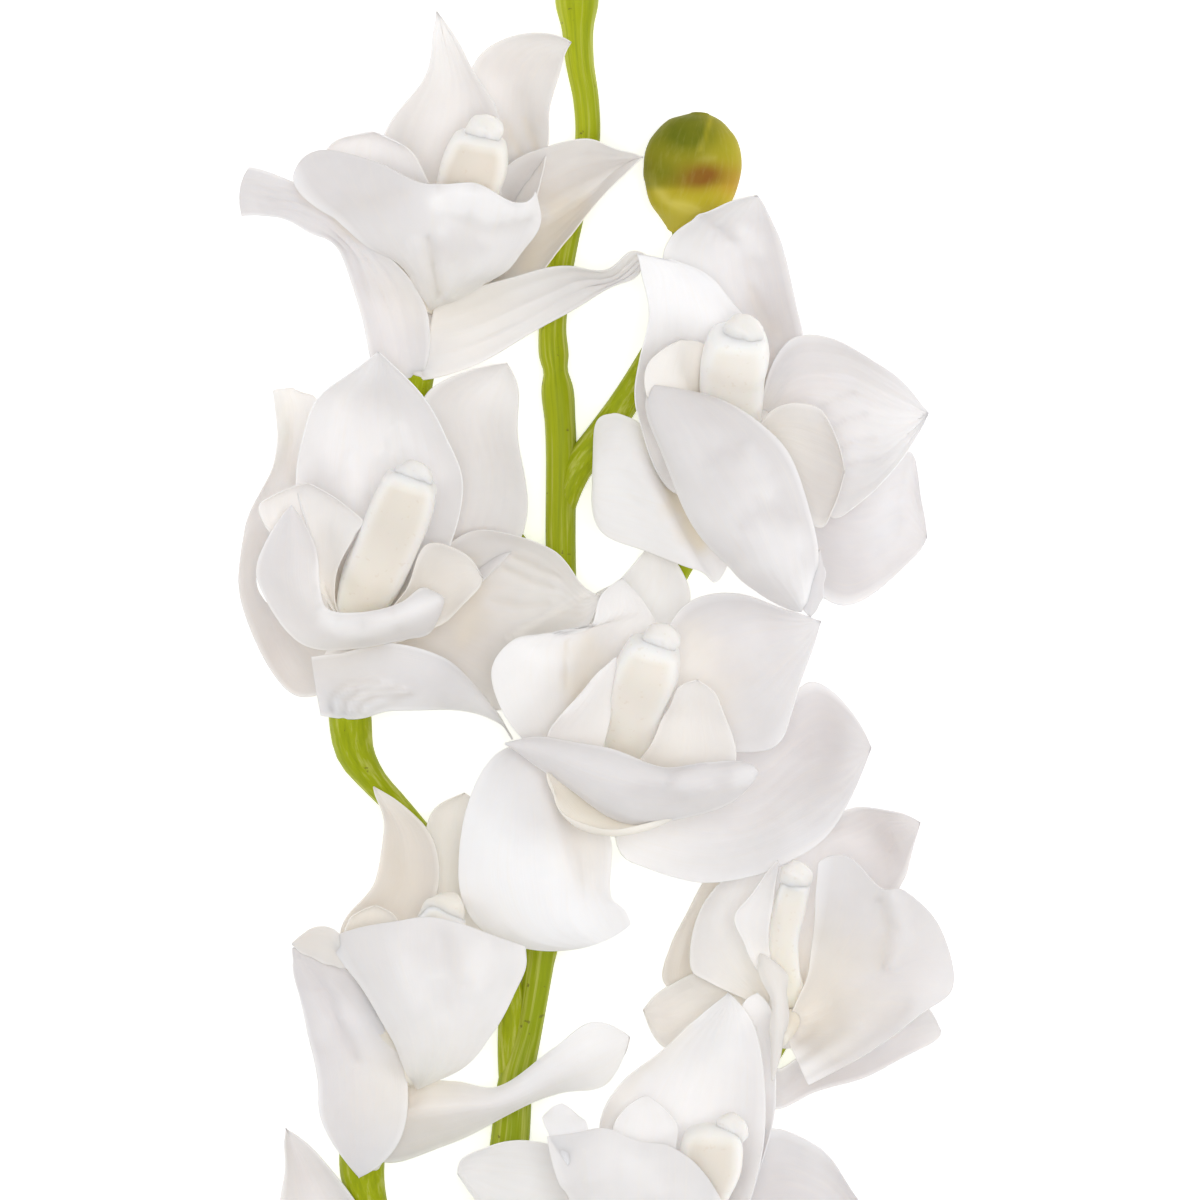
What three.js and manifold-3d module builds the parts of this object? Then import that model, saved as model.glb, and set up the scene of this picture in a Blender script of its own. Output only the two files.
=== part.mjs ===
// Cymbidium orchid stem: one cut flower stem lying on a flat surface, with eight open blooms
// and four buds. Millimetres, +Z up, growing tip toward +Y, blooms facing up. The whole stem
// stands on z = 0 with its bounding box centred on the Z axis.
//
// Every petal, sepal and lip lobe is a thin blade lofted over a short table of ribs that run
// across it. A rib holds three to nine points [x, y, z, ...] from one margin to the other, and
// a single point closes the blade to a tip or a root. The stalk, its branches, the columns,
// the receptacles and the buds are round bodies along rows of [x, y, z, radius].
import * as THREE from 'three';
import Module from 'manifold-3d';

const wasm = await Module();
wasm.setup();

const PETAL_THICKNESS = 0.8;    // sepals and petals
const LIP_THICKNESS = 0.9;      // lip and its side lobes
const CLEARANCE = 0.5;          // left between neighbouring parts
const ALONG = 6;                // steps from root to tip of a blade
const ACROSS = 4;               // fewest steps from margin to margin
const SIDES = 8;                // facets round the stalk, columns and buds
const ORIGIN = [-15.9, -81.7, 0];    // point of the tables that becomes the origin

const COLOURS = {
  tepals: { color: 0xf1ebe8, roughness: 0.55 },
  lip: { color: 0xf4efe9, roughness: 0.5 },
  column: { color: 0xf0e4c4, roughness: 0.45 },
  stem: { color: 0x93a81e, roughness: 0.5 },
  bud: { color: 0x84902c, roughness: 0.4 },
};

// The main stalk from its growing tip to its cut end.
const STALK =
  [[-6, 204, 6, 2.4], [-5.9, 190, 5.6, 3], [-5.8, 176, 5, 4.2], [-5.7, 168, 5, 3.8], [-5.7, 158, 5, 5],
   [-5.75, 150, 5, 5.4], [-5.6, 144.25, 5, 4.1], [-5.1, 135.75, 5, 3.6], [-3.5, 126, 5, 3.25],
   [-3.1, 116.5, 5, 3.15], [-5.5, 104, 5, 3.2], [-8.9, 90, 5, 3.4], [-11, 78, 5, 3.4],
   [-12, 67.8, 5, 3.5], [-11.6, 61, 5, 3.7], [-11.2, 57.6, 5, 3.1], [-10.9, 54.2, 5, 3.9],
   [-10.1, 44.8, 5, 3.9], [-10, 16, 5, 3.8], [-9.6, -20, 5, 3.9], [-10, -50, 5, 3.9],
   [-12.4, -72, 5, 3.8], [-14.75, -87.5, 5, 3.8], [-18.2, -108.5, 5, 3.6], [-21.2, -121, 5, 4.4],
   [-22.6, -135.75, 5, 4.9], [-28, -170, 4.85, 4.9], [-33, -205, 4.85, 4.9], [-37, -245, 4.85, 5],
   [-40, -290, 4.85, 5], [-41, -340, 4.85, 5], [-40, -385, 4.85, 5]];

// Branches of the stalk to the blooms and buds, named for what they carry.
const BRANCHES = {
  bloom_1:
    [[-44.5, 60, 15, 4], [-46, 52, 12, 3.8], [-41, 38, 8, 3.3], [-29, 24, 6, 3], [-17, 8, 5, 3],
     [-10, -4, 5, 2.6]],
  bud_1:
    [[-10, 20, 5, 3], [-6.5, 32, 5.5, 3.9], [0, 41, 6.5, 3.9], [6, 49.5, 7.5, 3.7], [11, 58, 8.5, 3.3],
     [17, 70, 9.8, 2.7], [20.4, 81, 11, 2.3], [20.6, 88, 11.8, 2.1], [19.4, 93.4, 12.2, 1.5]],
  bloom_2:
    [[40, 38, 10, 3.6], [36, 29, 7, 3.2], [21.5, 10, 5.2, 2.8], [11, -12, 5, 2.8], [-1, -36, 5, 2.8],
     [-9.5, -56, 5, 2.8]],
  bloom_3:
    [[-63, -22.6, 13, 5], [-62.8, -30, 12, 5.4], [-61.5, -38.5, 10.5, 4.8], [-57, -45.5, 8.5, 3.5],
     [-51, -52, 7, 3.1], [-43, -62, 6, 3], [-34, -82, 5, 3], [-22.8, -96.5, 5, 3.4],
     [-22.3, -104.5, 5, 3.4], [-22.8, -114, 5, 3], [-22.3, -124, 5, 3]],
  bloom_4:
    [[3, -46, 18, 4], [-2, -58, 11, 3.4], [-8, -70, 7, 3.2], [-12, -82, 5, 3.1], [-15, -94, 5, 2.8]],
  bloom_5:
    [[-59.5, -137, 13, 5.8], [-59.8, -144, 12, 5.6], [-58, -152, 10.5, 4.6], [-53, -165, 8, 3.7],
     [-46, -182, 6, 3.3], [-38.5, -204, 5, 3.1], [-35, -222, 5, 2.8]],
  bloom_6:
    [[46.5, -106, 9, 3.6], [41, -117, 5.6, 3], [29, -133, 5, 2.8], [9, -157, 5, 2.8],
     [-12, -184, 5, 2.8], [-32, -214, 5, 2.7]],
  bloom_7:
    [[24, -180, 14, 4.4], [20, -190, 10, 3.8], [10, -204, 7, 3.3], [-8, -226, 5, 3.1],
     [-34, -262, 5, 2.8]],
  bloom_8:
    [[-61, -200, 12, 4.2], [-58.5, -210, 8, 3.6], [-53, -228, 5, 3.1], [-46, -250, 5, 3],
     [-40, -276, 5, 2.8]],
  bud_2:
    [[-5.8, 150, 5, 3], [-2, 163, 6, 3.1], [4, 172, 7.5, 2.6], [9, 179, 9, 2.3]],
  bud_3:
    [[-5.8, 170, 5, 2.8], [-9, 182, 6, 2.6], [-14, 190, 7, 2.2], [-17, 195, 7.5, 2]],
};

const BUDS = {
  bud_1:
    [[18.6, 93, 12.2, 1.9], [19.4, 95.2, 12.4, 5], [20.3, 98, 12.7, 8.5], [21.9, 102.5, 12.9, 11.3],
     [23, 107, 13, 12.2], [23.7, 111.5, 13, 12.2], [24.3, 115.5, 13, 10.9], [24.7, 118.7, 13, 8.6],
     [25, 120.9, 13, 5.7], [25.1, 122.2, 13, 2.4]],
  bud_2:
    [[9.3, 179.5, 9, 2.2], [10.5, 183, 9, 5.5], [13, 189, 9, 8.4], [15.5, 195, 9, 7], [17, 199, 9, 2.4]],
  bud_3:
    [[-17.2, 195.3, 7.4, 1.9], [-18.4, 198, 7.2, 4.4], [-20.5, 203, 7, 6.4], [-22.5, 208, 7, 5],
     [-23.7, 211, 7, 1.7]],
  bud_4:
    [[-6, 204.4, 6, 2.2], [-5.6, 208, 6, 4.2], [-4.8, 213, 6, 5.2], [-3.8, 218, 6, 3.8],
     [-3.2, 221, 6, 1.3]],
};

// The blooms in order from the growing tip down.
const BLOOMS = {
  bloom_1: {
    receptacle:
      [[-45.5, 57.5, 14, 4.2], [-43.5, 63, 15, 4.6], [-40.5, 70, 15.5, 4.8]],
    tepals: {
      dorsal:
        [[-42, 70, 18], [-56, 94, 28, -42, 92, 17, -27, 92, 24],
         [-54.5, 115.5, 30, -40, 116, 19, -25, 119, 25], [-44.5, 130, 31, -38, 131, 24, -30.5, 131, 26],
         [-41.7, 140.5, 31, -39, 141, 29, -35.6, 139.8, 29], [-40.8, 147.3, 31]],
      petal_right_up:
        [[-38, 70, 18], [-33, 94, 16, -26, 92, 11, -19, 92, 18],
         [-33, 116, 19, -22, 116, 12, -13.6, 113, 22], [-31.8, 134.5, 21, -21, 131, 15, -12.4, 124, 22],
         [-23.5, 140.6, 22, -16, 137.5, 18.5, -10.6, 131.5, 22],
         [-13, 142.1, 23, -10.5, 139.4, 21.5, -8.8, 136.6, 23], [-7.2, 139.8, 24]],
      petal_right:
        [[-38, 68, 16], [-24, 108, 20, -20, 102, 12, -19, 95, 8.5, -20, 87, 11, -22, 79, 19],
         [-13, 113.8, 24, -11.5, 107, 16, -11.5, 98, 7.5, -12, 90, 12.5, -14.5, 81.5, 22],
         [-4, 115.3, 26, -3, 110, 18, -3, 103, 10, -5, 97, 15, -7.5, 91.5, 23],
         [4, 113.7, 26, 4.5, 111, 20, 4.5, 108.5, 15, 3, 106, 17, 1.2, 101.5, 23.5], [10.8, 111.1, 23]],
      sepal_right:
        [[-41.3, 75, 25, -43, 66, 22, -45, 55.2, 17], [-34, 77, 27.5, -33, 68, 20, -33, 58.2, 18],
         [-22, 81, 27.5, -19.5, 73.5, 20, -17, 67, 19],
         [-8, 83.4, 25.5, -5.5, 79.3, 19, -3.5, 74.8, 20], [2, 82.9, 24, 3.5, 80.5, 20.5, 4.5, 79, 21],
         [8.5, 87, 25, 9.5, 84.8, 22.5, 9.3, 81.8, 22], [11.2, 86.3, 24]],
      sepal_left:
        [[-56, 54.5, 18, -50, 55.5, 16.5, -44.2, 57, 17.3],
         [-57.8, 62, 26, -50, 64.5, 21.5, -42.7, 64, 25.5],
         [-61, 75, 30.5, -53, 75, 25, -43.5, 73.5, 28.5],
         [-65.2, 87.5, 33, -59, 86, 29.5, -52, 85, 32.5], [-73, 92, 30, -70.5, 96.5, 31, -68, 99.5, 33],
         [-81, 96, 21.5, -80.5, 101, 26, -79.5, 105.9, 28],
         [-90.2, 96.3, 12, -90.5, 103, 17, -88.2, 108.6, 19.5]],
    },
    column:
      [[-39.5, 83, 23.5, 4.4], [-36.5, 92, 29, 7], [-33, 103.5, 34, 8], [-31, 110, 37, 8.1],
       [-30.3, 113.2, 38.4, 7.2]],
    cap:
      [[-31.5, 115.9, 38.77, 3.03], [-28.8, 117.2, 39.4, 3.87], [-26.1, 116.8, 38.77, 3.03]],
    claw:
      [[-41.5, 74, 20, 2.6], [-42, 77, 27, 2.8], [-42, 80, 33.5, 2.4], [-42, 83.5, 39, 1.8]],
    lip: {
      front:
        [[-42.5, 73, 26],
         [-49.5, 83, 32, -47, 82, 35.5, -44, 80.5, 38.5, -41, 79.3, 37.5, -37.5, 78.6, 38,
          -34, 78.2, 37, -30, 78.2, 34],
         [-62, 91.5, 37, -56, 91.5, 42, -49, 90.5, 45, -42, 89, 46.5, -34, 86.5, 45.5, -27, 84, 43.5,
          -20.5, 85.5, 39.5],
         [-74, 101, 39.5, -65, 103, 45, -54, 100, 48.5, -43, 97, 50.5, -32, 95, 49, -23, 93, 46.5,
          -15.3, 94, 41],
         [-76.5, 105.8, 38.5, -70, 112.2, 44, -56, 109.2, 50, -43.5, 103.6, 53, -31, 103.8, 53,
          -21.3, 99.3, 50, -16.6, 101.8, 44]],
      lobe_left:
        [[-42, 80, 31], [-52, 92, 33, -48, 94, 32, -43, 94, 33],
         [-69, 109, 35.5, -57, 108.5, 33.5, -42.5, 104, 38],
         [-65.2, 114.8, 38.5, -57, 115.7, 36.5, -48.3, 112.5, 41], [-56.5, 117, 40]],
    },
  },
  bloom_2: {
    receptacle:
      [[40, 39, 10.5, 5], [39.5, 41.5, 14, 6], [38.5, 44, 17.5, 5]],
    tepals: {
      dorsal:
        [[39.5, 42, 14], [28, 58, 20, 40, 58, 14, 49.5, 60, 19], [16, 80, 25, 34, 78, 15, 49.4, 74, 22],
         [18, 90.5, 26, 33, 90, 18, 45.6, 88.5, 24], [28, 98, 27, 36, 97.5, 23, 43.2, 95.5, 25],
         [39.5, 101.4, 26]],
      petal_left:
        [[39.5, 42, 14], [20, 26.5, 21, 22, 37, 20, 32, 45, 18], [9, 47, 34, 17, 54, 27, 33, 60, 20],
         [10.4, 60, 38, 20, 66, 29, 36.3, 69.5, 24], [11.7, 72, 38.5, 19, 76, 31, 32.5, 75.5, 27],
         [10.5, 81, 37.5, 17, 83, 33, 25.5, 82.3, 29.5], [9.2, 86.2, 36.5]],
      petal_right:
        [[39.5, 42, 14], [46, 64, 24, 50, 50, 17, 52, 36, 21], [58, 65.4, 27, 62, 48, 19, 57.5, 21, 25],
         [72, 57.6, 28, 73, 44, 22, 67, 26, 27], [80, 50, 27, 79.5, 45, 25, 78, 38.4, 27],
         [82.4, 46.8, 27]],
      sepal_right:
        [[39.5, 42, 14], [56, 32, 10, 54, 20, 6, 50, 8, 12], [69, 34, 9, 66, 18, 0.6, 60, -1.3, 6],
         [79, 36.5, 8, 76, 22, 0.2, 70, 2.4, 3.5], [81.4, 24, 5.5, 80.5, 18, 2.6, 79, 10.5, 4],
         [82.5, 15.8, 5]],
      sepal_left:
        [[39.5, 42, 14], [17, 40, 13, 21, 26, 12.5, 31, 6.5, 17],
         [8.3, 45, 21.5, 13, 30, 27, 24, 7.6, 25], [3, 46.9, 20, 5, 33, 24.5, 12, 12, 23],
         [-1, 43, 16.5, -0.2, 32, 20.5, 0.5, 17.5, 19.5], [-1.7, 28, 17.5]],
    },
    column:
      [[34, 42, 20, 6], [33, 50, 28, 7.8], [33.2, 57, 34.5, 8.2], [34, 61.3, 38.5, 8.3],
       [34.3, 64, 40.5, 7.6]],
    cap:
      [[32.6, 66.3, 41.38, 3.03], [35.7, 66.9, 42.45, 4.24], [38.7, 66, 41.57, 3.03]],
    claw:
      [[37, 41, 20, 3.2], [34, 36.5, 28, 3.4], [33, 32, 38, 3.4], [31, 29, 53, 2.2]],
    lip: {
      front:
        [[13.2, 53.4, 41], [11.7, 46, 42, 15, 47, 46.5, 20, 48, 49, 25.5, 49.5, 49, 31, 49.6, 47],
         [18.2, 30, 44, 23, 32, 52, 30, 35, 56, 37, 38.5, 54.5, 43.3, 40.6, 48],
         [25, 15.8, 44, 31, 17.5, 54, 38.5, 20.5, 57.5, 45.5, 24.5, 54, 50.8, 27.5, 46],
         [34, 7.2, 41, 39, 7.6, 49.5, 44, 8.8, 53, 49.5, 11, 50.5, 53.8, 12.5, 44],
         [43.5, -0.8, 38, 46.3, 0, 43, 48.8, 1.2, 45.5, 51, 2.8, 44.5, 52.6, 4.2, 42],
         [50.2, -2.8, 39.5]],
      fold_low:
        [[54.6, 12.5, 41], [52.8, 8, 44.5, 54.4, 8, 42.5, 56, 7, 39],
         [51.6, 3, 43, 53.8, 2.2, 41, 55.8, 2, 38.5], [50.2, -1.2, 41, 52.6, -1.8, 40, 55, -1.2, 38.5],
         [52.6, -4.3, 39]],
      lobe_left:
        [[33.5, 36, 30], [20, 45, 38, 24, 46, 34, 26.5, 48, 28.5],
         [11.2, 52, 43, 18, 56, 38.5, 26.8, 60, 33],
         [13.2, 60.4, 41.5, 19.5, 62.4, 38.5, 25.6, 64.2, 35], [20, 65, 39]],
      lobe_right:
        [[34.5, 36, 30], [42, 46.3, 36, 44, 40, 33, 46, 30, 36],
         [50, 49.2, 37, 54, 36, 33, 52.5, 19, 38], [58, 43.5, 36, 60, 33, 34, 58, 21.5, 37],
         [61, 32, 35]],
    },
  },
  bloom_3: {
    receptacle:
      [[-65.2, -26.3, 13.8, 5], [-64.8, -20, 15, 6.2], [-62, -13, 16, 5.6]],
    tepals: {
      dorsal:
        [[-63, -17, 17], [-70, 6, 30, -57, 6, 18, -42, 4, 27],
         [-75.4, 30, 36, -56, 30, 16, -34.6, 28, 33], [-73, 46, 38, -56, 47, 20, -39, 42.5, 35],
         [-64, 55.4, 39, -55.5, 57, 33, -48, 55, 37], [-55.3, 62.1, 40]],
      petal_left:
        [[-63, -17, 17], [-77, -24, 9, -74, -14, 6, -68, 0, 14],
         [-90.6, 1, 4, -82, 8, -0.6, -72, 14, 12], [-89.3, 18, 6, -80.5, 23, 3, -70, 26, 10],
         [-82.2, 34, 13, -77.5, 40, 7, -71, 44, 7], [-81.4, 46, 16, -77.5, 49, 10, -71, 50, 9],
         [-82.1, 52.6, 17, -79, 53, 14, -73, 51.6, 10.5]],
      petal_right:
        [[-63, -17, 17], [-46, 14, 19, -36, 12, 14, -26, 8, 17],
         [-42, 36, 20, -31, 33, 13.5, -18.4, 22, 18], [-44, 51, 21, -32, 47, 14.5, -20.3, 42, 19],
         [-33, 57.2, 20, -26.5, 55.8, 16, -21.1, 53.8, 19], [-23.5, 59.3, 19]],
      sepal_right:
        [[-63, -17, 17], [-38, 14, 20, -37, 2, 15, -40, -18.5, 17.5],
         [-24, 17.2, 22, -20, 2, 13.5, -24.5, -27.5, 15.5], [-12, 12, 22, -10, 1.5, 15, -10, -15, 17.5],
         [-4.5, 4, 22, -4, -1, 19, -3, -7.2, 19.5], [0, 0.9, 21]],
      sepal_low:
        [[-72.3, -14.2, 25, -71.4, -21, 21, -70.2, -29, 16],
         [-64, -13, 29, -63, -21, 24, -61, -29.8, 18], [-52, -10.8, 34, -52, -19, 32, -51, -27.7, 26],
         [-38, -15, 31, -39, -21.5, 30, -38, -27.8, 25],
         [-30, -23.6, 26, -29, -26, 26, -28.4, -28.9, 23.5], [-22, -35, 20]],
    },
    column:
      [[-61.5, -4, 21, 4.8], [-57.3, 5, 27.5, 7.6], [-52.6, 15.5, 33.5, 7.8], [-48.9, 24.5, 38.5, 7.6],
       [-47.6, 28.4, 40.2, 6.9]],
    cap:
      [[-49.3, 30.7, 39.88, 3.03], [-46.5, 30.8, 40.86, 3.75], [-44.2, 29.4, 39.88, 3.03]],
    claw:
      [[-61, -9.8, 21, 2.6], [-60.6, -9.6, 29, 2.8], [-60.2, -8.2, 37, 2.2], [-60, -6.8, 43, 2]],
    lip: {
      front:
        [[-77, 23.7, 44], [-83.5, 14, 38, -77, 14, 43, -71.5, 14, 40],
         [-85.5, 4, 36, -77, 4, 42, -70, 3, 41], [-75, -10.5, 34, -71.5, -7, 42, -67.6, -2.6, 44],
         [-60, -12.3, 35, -60, -7.5, 45, -60, -3.1, 47], [-48, -9.6, 37, -49, -5, 46, -49.5, -0.7, 46],
         [-41.5, -6.5, 38, -40.5, -1.5, 43, -43.5, 3.1, 42], [-39, 0.5, 40]],
      lobe_left:
        [[-60.5, -12, 34], [-73, 6, 34, -70, 6, 32, -66.5, 5, 34],
         [-84, 19, 36, -73, 18, 33, -61.3, 16, 37], [-83, 26, 37, -73, 26.5, 35, -61, 22, 38],
         [-73, 28.9, 37]],
      lobe_right:
        [[-60.5, -12, 34], [-49, 2, 33, -46, 0, 30, -47, -9.4, 34],
         [-43, 14, 34, -38, 5, 31, -38, -4.8, 35], [-34, 11.6, 34, -32, 7, 33, -31, 2, 35],
         [-29.3, 5.5, 34]],
    },
  },
  bloom_4: {
    receptacle:
      [[3, -48, 18, 5], [4, -43.5, 22, 6.5], [6, -38, 24, 5]],
    tepals: {
      dorsal:
        [[4, -43, 21], [-3.5, -16, 15, 6, -14, 12.5, 16, -14, 15.5],
         [-2.4, 0, 13.6, 9, -2, 10.5, 22.6, 0, 14.5], [6, 6, 13.5, 13, 6, 11.5, 20.6, 7.2, 14],
         [13, 15, 13]],
      petal_left:
        [[4, -43, 21], [-20, -34, 37, -14, -31, 36.5, -8, -29, 34.5, -2.5, -27, 30, 3, -24, 27],
         [-27.2, -18, 41, -18, -17.5, 41.5, -8.7, -17, 39.5, -1, -15.5, 33, 7, -15, 28],
         [-21.8, -10.3, 41, -15, -9.9, 41.5, -9, -9.4, 39.5, 2, -8, 34.5, 12.5, -8, 29],
         [-2.6, -6.8, 38.5, 1.2, -4.7, 37.5, 5, -3.2, 35.5, 9, -2.6, 33, 12.8, -3.4, 30],
         [0.2, 0.9, 37, 2.6, 1.6, 36.6, 5, 1.8, 35.8, 7.4, 1.5, 34.8, 9.8, 0.6, 33], [5.6, 5.5, 35]],
      petal_right:
        [[4, -43, 21], [13, -18, 30, 22, -26, 26, 32, -38, 34], [20, -2, 33, 30, -18, 26, 43, -37, 38],
         [35, 1.3, 34, 42, -12, 30, 47.5, -28.5, 38], [48, -2.8, 35, 50.5, -8, 34, 52.4, -15, 36],
         [55.3, -5.3, 35]],
      sepal_right:
        [[4, -44, 21], [13, -42, 26, 10, -52, 25, 4.5, -61.8, 29],
         [26, -38, 23, 19, -53, 23, 12, -67.3, 30], [42, -30, 21, 38, -52, 22, 28, -70.5, 33],
         [54, -20.5, 20, 54, -42, 23, 46, -66.2, 32], [63, -27.8, 23, 62, -40, 26, 59, -56.2, 30],
         [68, -37, 26]],
      sepal_left:
        [[4, -43, 21], [-24.5, -37.3, 35, -19, -40, 38, -12.5, -45.5, 38.5, -6, -50, 32, 0, -53, 29],
         [-33.8, -55, 33, -23, -56, 38.5, -11, -58.5, 39.5, -4, -60, 33, 3, -61.5, 31],
         [-35, -73, 31, -24, -71, 38, -9, -70, 40.5, -3, -71.5, 37, 2.7, -74, 35],
         [-26, -84.8, 30, -18, -83, 36, -8, -80.5, 39, 0, -78.5, 37.5, 6.5, -77.8, 35],
         [-9, -87.6, 33, -4, -86.8, 35.5, 0, -85.6, 36.5, 4, -83.8, 36, 7.6, -81.2, 34.5]],
    },
    column:
      [[5.5, -42, 26, 6], [6.5, -33.5, 32, 7.6], [9.3, -24.5, 38, 7.7], [12.2, -16.2, 42.8, 7.8],
       [13, -13.4, 44.3, 7]],
    cap:
      [[12.8, -11, 44.38, 3.03], [15.3, -9.7, 45.26, 3.75], [17.9, -10.7, 44.43, 2.9]],
    claw:
      [[5, -43, 25.5, 3.2], [4, -46, 34, 3.4], [4, -48.5, 43, 3.4], [4, -47.5, 55, 2.2]],
    lip: {
      front:
        [[-23.5, -35.8, 46],
         [-14, -34.2, 51.5, -14.3, -36.3, 54, -14, -38.6, 54, -13.4, -41, 51.5, -12.4, -43.6, 47.5],
         [-1, -36.4, 55, -1, -40.2, 59, -0.2, -44.6, 59, 0.8, -49.2, 55.5, 2, -53.8, 49.5],
         [13, -41.2, 57.5, 13.6, -44.2, 61, 14, -48, 60.5, 14.4, -52, 56.5, 15, -55.6, 50.5],
         [26.5, -41, 57.5, 27, -43.2, 60, 27.5, -46, 59.5, 28, -49, 56.5, 29, -51.6, 52.5],
         [36.4, -40.3, 54, 37.6, -41.6, 56, 38.2, -43.2, 56, 38, -45, 55, 36.8, -47, 52.5],
         [39.6, -42.6, 53]],
      pouch:
        [[-13, -43, 50], [-12, -46, 50, -10, -48, 47.5, -3, -45, 42],
         [-8, -54, 50, -3, -56, 47, 2, -47, 41], [2, -57, 52, 4, -57.5, 49, 6, -48, 42],
         [14, -55, 52, 14, -55, 50, 9, -47, 44], [18, -54, 52]],
      lobe_left:
        [[3, -45.5, 37], [-13, -34.5, 46, -8, -34, 44, 1, -37, 41.5],
         [-5.5, -24, 48, -2.5, -24.5, 47, 3.2, -25.5, 42.5], [4, -14.3, 47.5]],
      lobe_right:
        [[5, -45.5, 37], [12, -37, 42, 22, -40, 41, 33, -42, 46],
         [16.5, -28, 43, 23, -29, 41, 31.6, -30, 45], [20, -21.5, 45, 24, -21.5, 44, 28.2, -23, 46],
         [24.3, -19.8, 45.5]],
    },
  },
  bloom_5: {
    receptacle:
      [[-60, -141, 15, 5], [-56, -130, 16, 5.2], [-51.5, -114, 18, 6]],
    tepals: {
      petal_left_up:
        [[-54, -112, 18], [-65, -84, 22, -54, -84, 16, -44, -82, 20],
         [-56.3, -70, 24, -48.5, -70, 18, -40, -69, 23],
         [-54, -58, 23, -49.5, -58, 19, -43.6, -57.5, 22],
         [-55.8, -51, 21, -53.5, -51.5, 19.5, -49.5, -51.3, 20], [-56.9, -46.8, 20]],
      petal_right_up:
        [[-50, -112, 17], [-46, -80, 17, -38, -78, 13, -28.5, -83, 16.5],
         [-44.5, -60, 17, -36, -60, 12.5, -28, -60, 16],
         [-41, -52.4, 16, -35.5, -52.5, 13.5, -29, -53, 15.5], [-34, -48.6, 15.5]],
      sepal_left:
        [[-60.5, -145, 18], [-69.6, -131, 28, -60, -131, 27, -50, -135, 25],
         [-70.7, -120, 33, -60, -118, 33, -48.2, -120, 30],
         [-73, -107, 35, -64, -104, 38, -53, -105, 35],
         [-75.6, -96, 34, -70, -96, 37, -60.5, -94.5, 36], [-76.7, -86.9, 35]],
      sepal_right:
        [[-59, -138, 17],
         [-46.5, -121.3, 21.5, -46.5, -125, 23.5, -47, -129, 24.5, -48, -135, 20, -50, -141, 15],
         [-37, -120.6, 21.5, -37, -124, 23.5, -37, -127.5, 24.5, -37, -131.8, 21, -37, -136.3, 16.5],
         [-26, -122.3, 21.5, -25.6, -124.2, 23, -25, -126.2, 23, -24.5, -127.8, 21, -24, -129.4, 18],
         [-12, -112.6, 22.5, -11.6, -115.6, 22.5, -11, -119, 21.5, -10.5, -121.6, 19,
          -10, -123.6, 16.5],
         [-1, -105.9, 23.5, 0.6, -109, 22, 2.2, -113, 20.5, 3.2, -116.5, 18.5, 2.8, -120.2, 16.5],
         [7.4, -109.6, 22]],
    },
    column:
      [[-49, -118, 22, 5.5], [-46, -106, 28, 7], [-43, -94, 32, 7.6], [-40.6, -84, 34.6, 6.8],
       [-38.8, -79.6, 35.6, 5.6]],
    cap:
      [[-43.4, -80.6, 34.4, 3], [-39.5, -78.2, 35.4, 4.4], [-36.2, -77.2, 35.2, 4.1]],
    claw:
      [[-50, -116, 22, 3.2], [-47, -118, 27, 3.8], [-44, -114, 33, 3.6], [-42, -109, 38, 2.4]],
    lip: {
      front:
        [[-46, -122.5, 26],
         [-49.8, -115, 36, -47.5, -114.5, 38, -44.5, -113.8, 39, -41, -113.5, 38.5, -38, -113.6, 38,
          -34.5, -114, 36.5, -31.5, -114.5, 34],
         [-56, -102, 41, -52, -101, 44.5, -47, -100, 46.5, -41, -99.3, 45.5, -35.5, -99.6, 45,
          -29.5, -101, 42, -24, -103.3, 37.5],
         [-63, -92, 42.5, -57, -91, 46.5, -50.5, -90, 48.5, -43, -90, 46.5, -35, -90.5, 47,
          -27, -92, 44, -19.6, -94.5, 38.5],
         [-67.5, -84.5, 40, -60, -81.8, 44.5, -51.5, -80.3, 47, -43, -79, 46, -35, -80.6, 46.5,
          -27, -83.7, 44, -18.9, -86.6, 38.5]],
      tab:
        [[-63, -92, 42], [-68, -91, 39.5, -66.5, -86, 42, -65, -83.5, 42],
         [-74, -88.4, 37.5, -73, -84.5, 39, -71, -81.6, 40], [-77, -86, 36.8]],
      lobe_left:
        [[-45.5, -116, 31], [-56, -108, 36, -54, -107, 35.5, -52.5, -107, 36],
         [-64, -92, 35, -59, -91, 34, -53, -90, 36], [-63.2, -81.5, 36, -57, -79.8, 35, -50.2, -82, 37],
         [-61, -78.2, 36, -56.6, -77.3, 35.3, -52, -78, 36.6], [-56.4, -76.3, 36]],
    },
  },
  bloom_6: {
    receptacle:
      [[46, -110, 12, 4.5], [47, -105, 15, 5.6], [47.5, -100, 18, 4.6]],
    tepals: {
      dorsal:
        [[47, -105, 15], [42.5, -76, 20, 56, -76, 14, 66, -82, 20],
         [47.5, -60, 20, 60, -64, 14, 72, -78, 20], [61, -53, 20, 69, -60, 15, 76, -70.5, 21],
         [67, -52.3, 20, 73, -57, 18, 77.4, -66, 21], [76, -53.5, 20, 78, -56.5, 20, 79.3, -60, 21],
         [80.4, -55.8, 20]],
      petal_left:
        [[47, -105, 15], [28, -96, 20, 35, -93, 18, 41, -90, 22],
         [22.5, -92, 20, 31, -86, 18, 40, -80, 24], [26.5, -75, 20, 33, -75, 18, 44.5, -71.5, 21.5],
         [39.5, -64.8, 20]],
      petal_back:
        [[47, -105, 15], [16.3, -97, 10, 26, -96, 7, 36, -94, 10],
         [18, -87, 10, 26, -86, 7, 36, -84, 10], [24.3, -74, 11, 31, -74, 8, 40, -72, 11],
         [34, -60, 10]],
      sepal_left:
        [[47, -105, 15], [36, -93, 17, 33, -99, 14, 32, -105, 14],
         [25, -93.5, 15, 24, -101, 13, 24, -108, 13], [15.5, -98.3, 14, 15, -105, 12, 16, -112.3, 12],
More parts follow.
